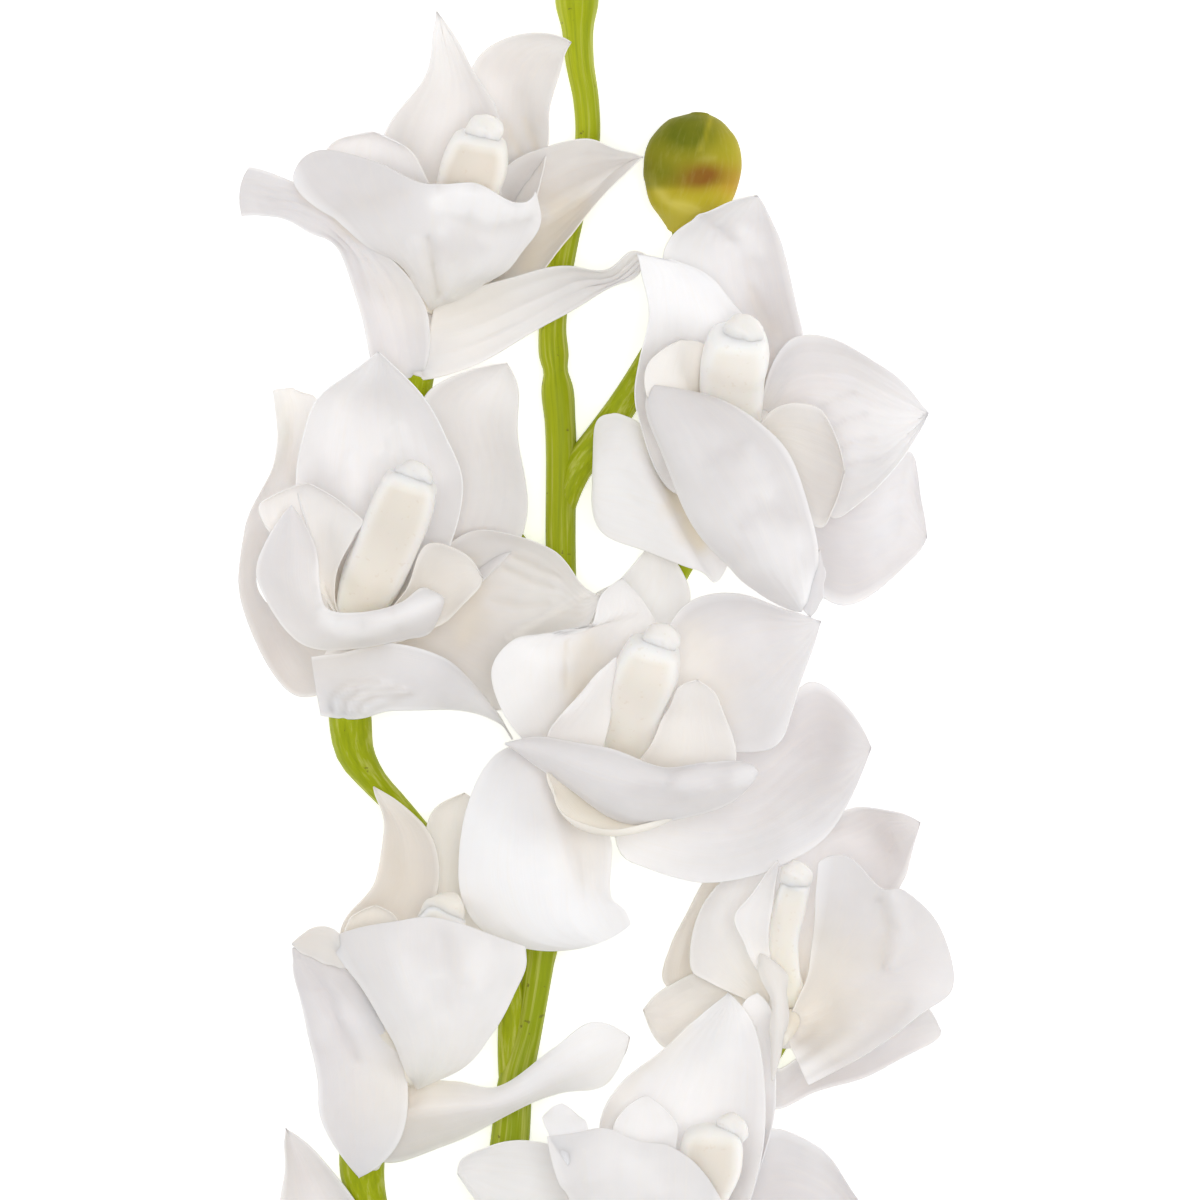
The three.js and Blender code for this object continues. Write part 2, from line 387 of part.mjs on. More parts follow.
         [11, -103, 13]],
      sepal_right:
        [[46, -106, 13], [45, -118, 13, 44, -123, 10, 43, -127.2, 11],
         [56, -111, 7, 55, -117, 3.6, 54, -124.2, 7], [68, -108, 6, 67, -113.5, -0.1, 66, -120.1, 5],
         [77, -104, 7, 77, -109, 2, 77, -115, 5], [83.2, -103.5, 10, 84.7, -107, 8, 85.3, -110, 8],
         [85.8, -108.5, 8.5]],
    },
    column:
      [[48, -100, 20, 4], [46, -92, 24.5, 4], [45.8, -84, 28.5, 4.1], [47.6, -76, 32.4, 4.1],
       [48.8, -71.6, 34.4, 3.7]],
    cap:
      [[47.1, -69.1, 34.38, 3.03], [49.1, -69, 35.31, 3.63], [51, -69.1, 34.43, 2.9]],
    claw:
      [[47.5, -105, 18, 3], [47.5, -105.3, 22.5, 2.8], [46.8, -107, 30, 2.5], [45, -109.3, 38, 2.2]],
    lip: {
      front:
        [[46.5, -106, 25],
         [50.5, -98, 25.5, 51.2, -99, 24.5, 52, -100.2, 23.8, 52.7, -101.6, 23.4, 53, -103.2, 23.4,
          53, -105, 23.8, 52.2, -107, 24.5, 50.5, -109.4, 26, 47.5, -111.4, 28],
         [53, -87, 28, 56, -88, 27, 59, -90, 26, 61.5, -92.8, 25.8, 62.8, -96, 26, 62.8, -99.5, 26.4,
          60.5, -104, 27.4, 56, -109.5, 29.5, 49, -114.5, 32],
         [53.8, -75.5, 33.5, 59.5, -76, 32.5, 65, -79.5, 32, 70, -83.5, 33, 73.8, -89, 33.5,
          74.5, -95, 33.5, 70.5, -102, 33.5, 62, -110.3, 34, 50.5, -118, 35],
         [54.5, -65.6, 37, 62, -64.2, 38.5, 70, -71.8, 39, 76.2, -72.6, 41, 84.8, -81.6, 39.5,
          88.3, -96.5, 36.5, 79.5, -103.8, 38, 67, -113, 38, 52, -121.2, 37]],
      lobe_left:
        [[46.6, -106, 31], [41, -95, 34, 42, -95, 33.5, 43.5, -95, 34],
         [36.5, -87, 34, 39, -88, 33, 42.4, -88, 34], [33.5, -80, 35, 38, -80, 34, 42.6, -80, 36],
         [37.3, -74, 35, 40.5, -72, 34, 43.7, -73, 36], [44.6, -65.3, 35]],
      lobe_front:
        [[43, -120, 36], [42.5, -110, 39, 44.5, -110, 40, 46.5, -108, 38],
         [42.6, -100, 40, 44.8, -99, 41, 47, -98, 39], [39.5, -92, 38, 42.5, -91, 39, 45.5, -92, 38],
         [40, -88.5, 36]],
    },
  },
  bloom_7: {
    receptacle:
      [[23, -183, 14, 5], [24, -178, 17, 7], [26, -172, 20, 5.5]],
    tepals: {
      dorsal:
        [[24, -176, 22], [0, -136, 35, 20, -140, 23, 40, -142, 29],
         [6, -120.8, 35, 24, -122, 24, 41, -122, 29], [20, -109, 33, 29, -109, 27, 39.4, -109, 29],
         [29, -101, 31, 32, -102, 29, 35.4, -101.6, 29], [32, -98.3, 30]],
      petal_right_up:
        [[30, -172, 16], [36, -142, 20, 40, -137, 19, 43, -132, 21],
         [37, -115, 21, 40.5, -115, 21, 44, -113, 22], [36, -101, 23, 39, -101.5, 23, 42.3, -101.5, 23],
         [39.5, -98.6, 23]],
      petal_right:
        [[30, -174, 18], [40, -134, 20, 42, -152, 12, 42, -170, 18],
         [55, -137.5, 16, 56, -154, 8, 55, -172, 14], [65, -150.5, 12, 66, -160, 7, 64, -172, 10],
         [72, -164, 10]],
      sepal_left:
        [[18, -178, 16], [2, -142, 18, 2, -154, 13, 4, -172, 18],
         [-14, -136.2, 20, -14, -150, 14, -10, -170, 19],
         [-27, -136.8, 22, -26, -147, 18, -22, -163, 20],
         [-35, -141, 24, -34.5, -144, 22, -32, -149, 22], [-35.6, -144, 23]],
      sepal_right:
        [[28, -180, 16], [34, -186, 14, 26, -192, 9, 17, -192, 14],
         [38, -206, 12, 27, -210, 5, 15, -207, 12], [35, -224, 11, 28, -226, 7, 20, -223, 11],
         [29, -234, 10]],
    },
    column:
      [[22, -174, 24, 6], [23.8, -161, 30, 6.2], [25.6, -149, 35, 6.4], [27.6, -140, 38.4, 8],
       [28, -135, 39.8, 7.5]],
    cap:
      [[30.6, -131.9, 39.17, 3.03], [32.7, -132.1, 39.71, 3.63], [34, -134.1, 38.97, 3.03]],
    claw:
      [[20, -177, 23, 3.6], [15, -176, 29, 4], [11, -171, 35, 3.8], [10, -166, 40, 2.4]],
    lip: {
      front:
        [[16, -180, 26],
         [-1, -168, 36, 1.5, -169, 38, 5, -170, 39.5, 10, -171.5, 40.5, 15, -172.5, 39.5, 20, -172, 37,
          25, -170, 33],
         [-8, -150, 43, -4, -150, 47, 1, -150.5, 49, 9, -152, 50.5, 16, -154.5, 49, 22.5, -157.5, 45.5,
          28, -161, 40],
         [-12, -140.5, 43.5, -6.5, -139, 48, 0.5, -138.5, 51.5, 9, -141, 51.5, 17, -143.8, 51,
          23.5, -148.5, 47.5, 30, -154, 42],
         [-13, -133.9, 41.5, -6.5, -133, 46, 1, -131.5, 50, 9.5, -134.8, 50.5, 17, -136, 50,
          24.5, -141.2, 47.5, 30.5, -150.8, 42]],
      tab:
        [[-8, -141, 46.3], [-13, -133, 41, -8, -133, 43, -3, -133, 44],
         [-13.8, -128.5, 36, -9, -128.5, 38, -5, -129, 39], [-9.5, -125.8, 36]],
      lobe_left:
        [[14, -174, 31], [4, -140, 40, 10, -140, 39, 19, -138, 39],
         [4.5, -129, 40, 11, -129, 39, 18.5, -129.5, 39], [11.5, -123.8, 40]],
    },
  },
  bloom_8: {
    receptacle:
      [[-61, -203, 11.5, 5], [-61.8, -198, 14.5, 6.4], [-62, -193, 17, 5]],
    tepals: {
      dorsal:
        [[-62, -192, 18], [-74, -178, 20, -64, -176, 12, -54, -176, 18],
         [-80, -158, 20, -69, -157, 11, -58, -158, 17],
         [-79.6, -143, 18, -74, -144, 12, -67, -143.3, 15], [-79, -132.6, 15]],
      petal_left:
        [[-66, -192, 15], [-88, -180, 16, -84, -190, 9, -78, -198, 14],
         [-103, -180, 12, -101, -190, 4, -97, -199, 10], [-115, -185, 11, -114, -190, 7, -111, -196, 9],
         [-120, -192, 9]],
      petal_right:
        [[-58, -194, 16], [-42, -180, 20, -44, -188, 16, -48, -196, 18],
         [-30, -182, 20, -31, -190, 17, -35, -197, 18], [-22, -190, 20]],
      sepal_left:
        [[-66, -202, 15], [-82, -206, 10, -78, -212, 5.5, -72, -216, 11],
         [-94, -222, 6, -88, -228, -0.3, -80, -230, 7], [-98, -236, 6, -94, -240, 2.5, -89, -240, 6],
         [-98, -248, 5]],
      sepal_right:
        [[-60, -203, 16], [-54, -210, 20, -57, -214, 17, -62, -216, 18],
         [-50, -226, 20, -55, -229, 17, -61, -230, 18], [-54, -242, 18, -57, -243, 17, -60, -242, 18],
         [-58, -250, 18]],
    },
    column:
      [[-63.5, -198, 20, 5.5], [-63.5, -194, 28, 6.5], [-63.5, -190, 36, 7.2], [-63.5, -187, 41.5, 7.2],
       [-63.5, -186, 44.5, 6.4]],
    cap:
      [[-65.1, -184.4, 45.77, 3.03], [-62.9, -183.8, 46.26, 3.75], [-61.1, -184.3, 45.63, 2.9]],
    claw:
      [[-62.5, -199, 20, 3.4], [-63, -203, 25, 3.8], [-63, -206, 31, 3.4], [-63, -208, 36, 2.2]],
    lip: {
      front:
        [[-64, -204, 22], [-72, -203, 32, -68, -207, 34, -63, -208.5, 35, -58, -207, 34, -54, -203, 32],
         [-80, -203, 40, -72, -210, 42, -63, -212, 44, -54, -210, 42, -46, -203, 40],
         [-82, -206, 47, -73, -214, 46, -63, -217, 47, -53, -214, 46, -44, -206, 47],
         [-80, -213, 49, -72, -222, 46, -63, -225, 45, -54, -222, 46, -46, -213, 49]],
      lobe_left:
        [[-64, -203.5, 28], [-76, -201, 30, -76, -197, 32, -73, -192, 31],
         [-78, -198, 38, -78, -194, 39, -75, -188, 39], [-77, -190, 43]],
      lobe_right:
        [[-62, -203.5, 28], [-51, -201, 30, -51, -197, 32, -54, -192, 31],
         [-49, -198, 38, -49, -194, 39, -52, -188, 39], [-50, -190, 43]],
    },
  },
};

// A smooth curve through rows of numbers, each row at its own knot. The three-point slopes
// give evenly rounded ends whatever the spacing of the rows.
class Rail extends THREE.Curve {
  constructor(rows, knots) {
    super();
    this.rows = rows;
    this.knots = knots;
    const step = (i) => knots[i + 1] - knots[i];
    const rise = (i, k) => (rows[i + 1][k] - rows[i][k]) / step(i);
    const last = rows.length - 1;
    this.slopes = rows.map((row, i) => row.map((_, k) => {
      if (i === 0 || i === last) return 0;
      return (rise(i - 1, k) * step(i) + rise(i, k) * step(i - 1)) / (step(i - 1) + step(i));
    }));
    const single = last === 1;
    this.slopes[0] = rows[0].map((_, k) => (single ? 1 : 2) * rise(0, k) - this.slopes[1][k]);
    this.slopes[last] = rows[0].map((_, k) => (
      (single ? 1 : 2) * rise(last - 1, k) - (single ? 0 : this.slopes[last - 1][k])));
  }

  at(t) {
    const { rows, knots, slopes } = this;
    let i = 0;
    while (i < rows.length - 2 && t >= knots[i + 1]) i += 1;
    const h = knots[i + 1] - knots[i];
    const f = (t - knots[i]) / h;
    const a = 2 * f ** 3 - 3 * f ** 2 + 1;
    const b = (f ** 3 - 2 * f ** 2 + f) * h;
    const c = 3 * f ** 2 - 2 * f ** 3;
    const d = (f ** 3 - f ** 2) * h;
    return rows[i].map((v, k) => a * v + b * slopes[i][k] + c * rows[i + 1][k] + d * slopes[i + 1][k]);
  }

  getPoint(t, target = new THREE.Vector3()) {
    return target.fromArray(this.at(t));
  }
}

// Knots from 0 to 1 spaced by a power of the distance between the rows' points.
function knotsAlong(points, power) {
  const knots = [0];
  for (let i = 1; i < points.length; i += 1) {
    const d = new THREE.Vector3(...points[i]).distanceTo(new THREE.Vector3(...points[i - 1]));
    knots.push(knots[i - 1] + d ** power);
  }
  return knots.map((k) => k / knots[knots.length - 1]);
}

// A closed solid from vertices and triangles: coincident vertices become one, triangles that
// shrank to a line at a tip are dropped, and the faces are turned outward.
function solid(points, triangles) {
  const seen = new Map();
  const vertices = [];
  const alias = points.map((p) => {
    const key = p.toArray().map((v) => Math.round(v * 1e4)).join();
    if (!seen.has(key)) {
      seen.set(key, vertices.length);
      vertices.push(p);
    }
    return seen.get(key);
  });
  let faces = triangles.map((tri) => tri.map((i) => alias[i]))
    .filter(([a, b, c]) => a !== b && b !== c && c !== a);
  const volume = faces.reduce((sum, [a, b, c]) => (
    sum + vertices[a].dot(new THREE.Vector3().crossVectors(vertices[b], vertices[c]))), 0);
  if (volume < 0) faces = faces.map(([a, b, c]) => [a, c, b]);
  return new wasm.Manifold(new wasm.Mesh({
    numProp: 3,
    vertProperties: new Float32Array(vertices.flatMap((p) => p.toArray())),
    triVerts: new Uint32Array(faces.flat()),
  }));
}

function trianglesOf(geometry) {
  const index = Array.from(geometry.index.array);
  return Array.from({ length: index.length / 3 }, (_, i) => index.slice(3 * i, 3 * i + 3));
}

// A blade: a plane grid bent over the ribs and closed to an even thickness, with the same
// triangles on both faces. "grow" makes the same blade larger by that much all round.
function blade(ribs, thickness, grow = 0) {
  const width = Math.max(...ribs.map((rib) => rib.length)) / 3;
  const rows = ribs.map((rib) => (rib.length === 3 ? Array(width).fill(rib).flat() : rib));
  const middle = Math.floor(width / 2) * 3;
  const knots = knotsAlong(rows.map((row) => row.slice(middle, middle + 3)), 0.5);
  const rails = new Rail(rows, knots);
  const across = Math.max(ACROSS, width - 1);
  const [rootIsPoint, tipIsPoint] = [ribs[0].length === 3, ribs[ribs.length - 1].length === 3];

  const grid = [];
  for (let i = 0; i <= ALONG; i += 1) {
    const even = i / ALONG;
    const row = rails.at(tipIsPoint ? even + 0.1 * Math.sin(Math.PI * even) : even);
    const points = Array.from({ length: width }, (_, k) => row.slice(3 * k, 3 * k + 3));
    const rib = new Rail(points, points.map((_, k) => k / (width - 1)));
    grid.push(Array.from({ length: across + 1 }, (_, j) => rib.getPoint(j / across)));
  }
  const at = (i, j) => grid[THREE.MathUtils.clamp(i, 0, ALONG)][THREE.MathUtils.clamp(j, 0, across)];
  const slopeAlong = (i, j) => at(i + 1, j).clone().sub(at(i - 1, j));
  const slopeAcross = (i, j) => at(i, j + 1).clone().sub(at(i, j - 1));
  const facing = (i, j) => slopeAcross(i, j).cross(slopeAlong(i, j)).normalize();
  const rowFacing = (i) => grid[i].reduce((sum, _, j) => sum.add(facing(i, j)), new THREE.Vector3());
  const normal = (i, j) => {
    if (i === 0 && rootIsPoint) return rowFacing(1).normalize();
    if (i === ALONG && tipIsPoint) return rowFacing(ALONG - 1).normalize();
    return facing(i, j);
  };
  // outward along the surface, only on the margins
  const margin = (i, j) => {
    const out = new THREE.Vector3();
    if (i === 0) out.sub(slopeAlong(0, across / 2).normalize());
    if (i === ALONG) out.add(slopeAlong(ALONG, across / 2).normalize());
    const isPoint = (i === 0 && rootIsPoint) || (i === ALONG && tipIsPoint);
    if (j === 0 && !isPoint) out.sub(slopeAcross(i, j).normalize());
    if (j === across && !isPoint) out.add(slopeAcross(i, j).normalize());
    return out;
  };

  const sheet = new THREE.PlaneGeometry(1, 1, across, ALONG);
  const faces = [1, -1].map((side) => grid.flatMap((row, i) => row.map((p, j) => (
    p.clone().addScaledVector(margin(i, j), grow)
      .addScaledVector(normal(i, j), side * (thickness / 2 + grow))))));
  const count = faces[0].length;
  const front = trianglesOf(sheet);
  const rim = [];
  for (let j = 0; j < across; j += 1) rim.push(j);
  for (let i = 0; i < ALONG; i += 1) rim.push(i * (across + 1) + across);
  for (let j = across; j > 0; j -= 1) rim.push(ALONG * (across + 1) + j);
  for (let i = ALONG; i > 0; i -= 1) rim.push(i * (across + 1));
  const walls = rim.flatMap((a, k) => {
    const b = rim[(k + 1) % rim.length];
    return [[a, b, b + count], [a, b + count, a + count]];
  });
  return solid(faces.flat(), [
    ...front,
    ...front.map(([a, b, c]) => [a + count, c + count, b + count]),
    ...walls,
  ]);
}

// A round body: a cylinder bent along rows of [x, y, z, radius], with domed ends or, with
// "cut" true, a flat far end.
function round(rows, { sides = SIDES, steps = 6, grow = 0, cut = false } = {}) {
  const line = new Rail(rows, knotsAlong(rows.map((row) => row.slice(0, 3)), 1));
  const tube = new THREE.CylinderGeometry(1, 1, 1, sides, steps);
  const up = new THREE.Vector3(0, 0, 1);
  const points = [];
  for (let i = 0; i < tube.attributes.position.count; i += 1) {
    const p = new THREE.Vector3().fromBufferAttribute(tube.attributes.position, i);
    const t = p.y + 0.5;
    const [, , , radius] = line.at(t);
    const tangent = line.getPoint(Math.min(t + 0.01, 1)).sub(line.getPoint(Math.max(t - 0.01, 0)));
    tangent.normalize();
    const side = new THREE.Vector3().crossVectors(tangent, up).normalize();
    const over = new THREE.Vector3().crossVectors(side, tangent);
    const dome = p.x === 0 && p.z === 0 && !(cut && t > 0.5) ? (t > 0.5 ? 0.55 : -0.35) * radius : 0;
    const end = (t === 1 ? grow : 0) - (t === 0 ? grow : 0);
    points.push(line.getPoint(t)
      .addScaledVector(side, p.x * (radius + grow))
      .addScaledVector(over, p.z * (radius + grow))
      .addScaledVector(tangent, dome + end));
  }
  return solid(points, trianglesOf(tube));
}

function join(solids) {
  return solids.reduce((whole, piece) => whole.add(piece));
}

// The largest connected piece, cleaned of slivers and set down on the surface.
function finish(body) {
  const pieces = body.trimByPlane([0, 0, 1], 0).simplify(0.08).decompose();
  return pieces.reduce((a, b) => (b.volume() > a.volume() ? b : a));
}

function makeMesh(name, body, look) {
  const { vertProperties, triVerts, numProp } = body.getMesh();
  const geometry = new THREE.BufferGeometry();
  const position = new Float32Array((vertProperties.length / numProp) * 3);
  for (let i = 0; i < position.length / 3; i += 1) {
    for (let k = 0; k < 3; k += 1) position[3 * i + k] = vertProperties[numProp * i + k] - ORIGIN[k];
  }
  geometry.setAttribute('position', new THREE.BufferAttribute(position, 3));
  geometry.setIndex(new THREE.BufferAttribute(triVerts, 1));
  geometry.computeVertexNormals();
  const material = new THREE.MeshStandardMaterial({ ...COLOURS[look], metalness: 0 });
  const mesh = new THREE.Mesh(geometry, material);
  mesh.name = name;
  return mesh;
}

// One bloom: five tepals on their receptacle, the column above it, and the lip in front.
// Each part is cut back to the clearance where its foot meets the one before.
function makeBloom(name, { receptacle, tepals, column, cap, claw, lip }) {
  const whorl = (grow) => join([
    round(receptacle, { steps: 3, grow }),
    ...Object.values(tepals).map((ribs) => blade(ribs, PETAL_THICKNESS, grow)),
  ]);
  const tepalsRoom = whorl(CLEARANCE);
  const columnRoom = round(column, { grow: CLEARANCE });
  const columnBody = join([round(column), round(cap, { sides: 6, steps: 2 })]);
  const lipBody = join([
    round(claw, { sides: 7, steps: 3 }),
    ...Object.values(lip).map((ribs) => blade(ribs, LIP_THICKNESS)),
  ]);
  return {
    room: tepalsRoom,
    meshes: [
      makeMesh(`${name}_tepals`, finish(whorl(0)), 'tepals'),
      makeMesh(`${name}_lip`,
        finish(lipBody.subtract(tepalsRoom).subtract(columnRoom)), 'lip'),
      makeMesh(`${name}_column`, finish(columnBody.subtract(tepalsRoom)), 'column'),
    ],
  };
}

const group = new THREE.Group();
const blooms = Object.entries(BLOOMS).map(([name, tables]) => makeBloom(name, tables));
blooms.forEach(({ meshes }) => group.add(...meshes));

const buds = Object.entries(BUDS);
buds.forEach(([name, rows]) => {
  group.add(makeMesh(name, finish(round(rows, { sides: 10, steps: 6 })), 'bud'));
});

// The stalk and every branch grow as one green body, cut back where the blooms and buds sit.
const green = join([
  round(STALK, { steps: 34, cut: true }),
  ...Object.values(BRANCHES).map((rows) => round(rows, { sides: 6, steps: 6 })),
]);
const rooms = [
  ...blooms.map(({ room }) => room),
  ...buds.map(([, rows]) => round(rows, { sides: 10, steps: 6, grow: CLEARANCE })),
];
group.add(makeMesh('stem', finish(rooms.reduce((body, room) => body.subtract(room), green)), 'stem'));

export default group;
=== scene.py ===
"""Cymbidium orchid stem: fine blooms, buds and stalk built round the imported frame.

The tables below are in millimetres, +Z up, growing tip toward +Y, and TABLE_ORIGIN is the point
of them that lies at the frame's origin. A petal, sepal or lip lobe is a table of ribs that run
across it, each with three to nine points [x, y, z, ...] from margin to margin, or one point where
the blade closes. Stalk, branches, columns and buds are rows of [x, y, z, radius].
"""
import math

import bpy
import numpy as np
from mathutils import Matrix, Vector, noise


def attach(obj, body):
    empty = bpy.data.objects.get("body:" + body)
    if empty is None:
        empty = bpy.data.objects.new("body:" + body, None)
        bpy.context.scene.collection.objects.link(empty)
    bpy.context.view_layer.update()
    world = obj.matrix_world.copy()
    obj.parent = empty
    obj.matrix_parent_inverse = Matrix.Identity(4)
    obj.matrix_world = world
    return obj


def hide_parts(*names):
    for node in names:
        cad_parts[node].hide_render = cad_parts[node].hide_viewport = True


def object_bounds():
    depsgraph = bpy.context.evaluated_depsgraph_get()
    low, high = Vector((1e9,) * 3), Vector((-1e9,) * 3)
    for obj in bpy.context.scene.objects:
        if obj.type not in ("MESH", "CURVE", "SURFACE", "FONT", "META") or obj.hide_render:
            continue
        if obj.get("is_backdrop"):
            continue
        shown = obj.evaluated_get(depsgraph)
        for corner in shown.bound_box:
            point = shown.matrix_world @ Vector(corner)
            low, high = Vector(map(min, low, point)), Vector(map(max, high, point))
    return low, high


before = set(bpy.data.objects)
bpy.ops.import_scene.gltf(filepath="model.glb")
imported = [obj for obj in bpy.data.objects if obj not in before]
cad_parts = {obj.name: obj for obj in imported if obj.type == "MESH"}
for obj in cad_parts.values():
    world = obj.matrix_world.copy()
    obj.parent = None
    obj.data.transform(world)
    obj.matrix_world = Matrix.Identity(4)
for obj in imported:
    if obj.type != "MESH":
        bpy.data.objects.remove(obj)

CAD_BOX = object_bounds()
MM = 0.001
TABLE_ORIGIN = np.array([-15.9, -81.7, 0])

STALK = (
  [[-6,204,6,2.4], [-5.9,190,5.6,3], [-5.8,176,5,4.2], [-5.7,168,5,3.8], [-5.7,158,5,5],
   [-5.75,150,5,5.4], [-5.6,144.25,5,4.1], [-5.1,135.75,5,3.6], [-3.5,126,5,3.25], [-3.1,116.5,5,3.15],
   [-5.5,104,5,3.2], [-8.9,90,5,3.4], [-11,78,5,3.4], [-12,67.8,5,3.5], [-11.6,61,5,3.7],
   [-11.2,57.6,5,3.1], [-10.9,54.2,5,3.9], [-10.1,44.8,5,3.9], [-10,16,5,3.8], [-9.6,-20,5,3.9],
   [-10,-50,5,3.9], [-12.4,-72,5,3.8], [-14.75,-87.5,5,3.8], [-18.2,-108.5,5,3.6], [-21.2,-121,5,4.4],
   [-22.6,-135.75,5,4.9], [-28,-170,4.85,4.9], [-33,-205,4.85,4.9], [-37,-245,4.85,5],
   [-40,-290,4.85,5], [-41,-340,4.85,5], [-40,-385,4.85,5]])

BRANCHES = {
  "bloom_1":
   [[-44.5,60,15,4], [-46,52,12,3.8], [-41,38,8,3.3], [-29,24,6,3], [-17,8,5,3], [-10,-4,5,2.6]],
  "bud_1":
   [[-10,20,5,3], [-6.5,32,5.5,3.9], [0,41,6.5,3.9], [6,49.5,7.5,3.7], [11,58,8.5,3.3],
    [17,70,9.8,2.7], [20.4,81,11,2.3], [20.6,88,11.8,2.1], [19.4,93.4,12.2,1.5]],
  "bloom_2":
   [[40,38,10,3.6], [36,29,7,3.2], [21.5,10,5.2,2.8], [11,-12,5,2.8], [-1,-36,5,2.8], [-9.5,-56,5,2.8]],
  "bloom_3":
   [[-63,-22.6,13,5], [-62.8,-30,12,5.4], [-61.5,-38.5,10.5,4.8], [-57,-45.5,8.5,3.5], [-51,-52,7,3.1],
    [-43,-62,6,3], [-34,-82,5,3], [-22.8,-96.5,5,3.4], [-22.3,-104.5,5,3.4], [-22.8,-114,5,3],
    [-22.3,-124,5,3]],
  "bloom_4": [[3,-46,18,4], [-2,-58,11,3.4], [-8,-70,7,3.2], [-12,-82,5,3.1], [-15,-94,5,2.8]],
  "bloom_5":
   [[-59.5,-137,13,5.8], [-59.8,-144,12,5.6], [-58,-152,10.5,4.6], [-53,-165,8,3.7], [-46,-182,6,3.3],
    [-38.5,-204,5,3.1], [-35,-222,5,2.8]],
  "bloom_6":
   [[46.5,-106,9,3.6], [41,-117,5.6,3], [29,-133,5,2.8], [9,-157,5,2.8], [-12,-184,5,2.8],
    [-32,-214,5,2.7]],
  "bloom_7": [[24,-180,14,4.4], [20,-190,10,3.8], [10,-204,7,3.3], [-8,-226,5,3.1], [-34,-262,5,2.8]],
  "bloom_8":
   [[-61,-200,12,4.2], [-58.5,-210,8,3.6], [-53,-228,5,3.1], [-46,-250,5,3], [-40,-276,5,2.8]],
  "bud_2": [[-5.8,150,5,3], [-2,163,6,3.1], [4,172,7.5,2.6], [9,179,9,2.3]],
  "bud_3": [[-5.8,170,5,2.8], [-9,182,6,2.6], [-14,190,7,2.2], [-17,195,7.5,2]],
}

BUDS = {
  "bud_1":
   [[18.6,93,12.2,1.9], [19.4,95.2,12.4,5], [20.3,98,12.7,8.5], [21.9,102.5,12.9,11.3],
    [23,107,13,12.2], [23.7,111.5,13,12.2], [24.3,115.5,13,10.9], [24.7,118.7,13,8.6],
    [25,120.9,13,5.7], [25.1,122.2,13,2.4]],
  "bud_2": [[9.3,179.5,9,2.2], [10.5,183,9,5.5], [13,189,9,8.4], [15.5,195,9,7], [17,199,9,2.4]],
  "bud_3":
   [[-17.2,195.3,7.4,1.9], [-18.4,198,7.2,4.4], [-20.5,203,7,6.4], [-22.5,208,7,5], [-23.7,211,7,1.7]],
  "bud_4": [[-6,204.4,6,2.2], [-5.6,208,6,4.2], [-4.8,213,6,5.2], [-3.8,218,6,3.8], [-3.2,221,6,1.3]],
}

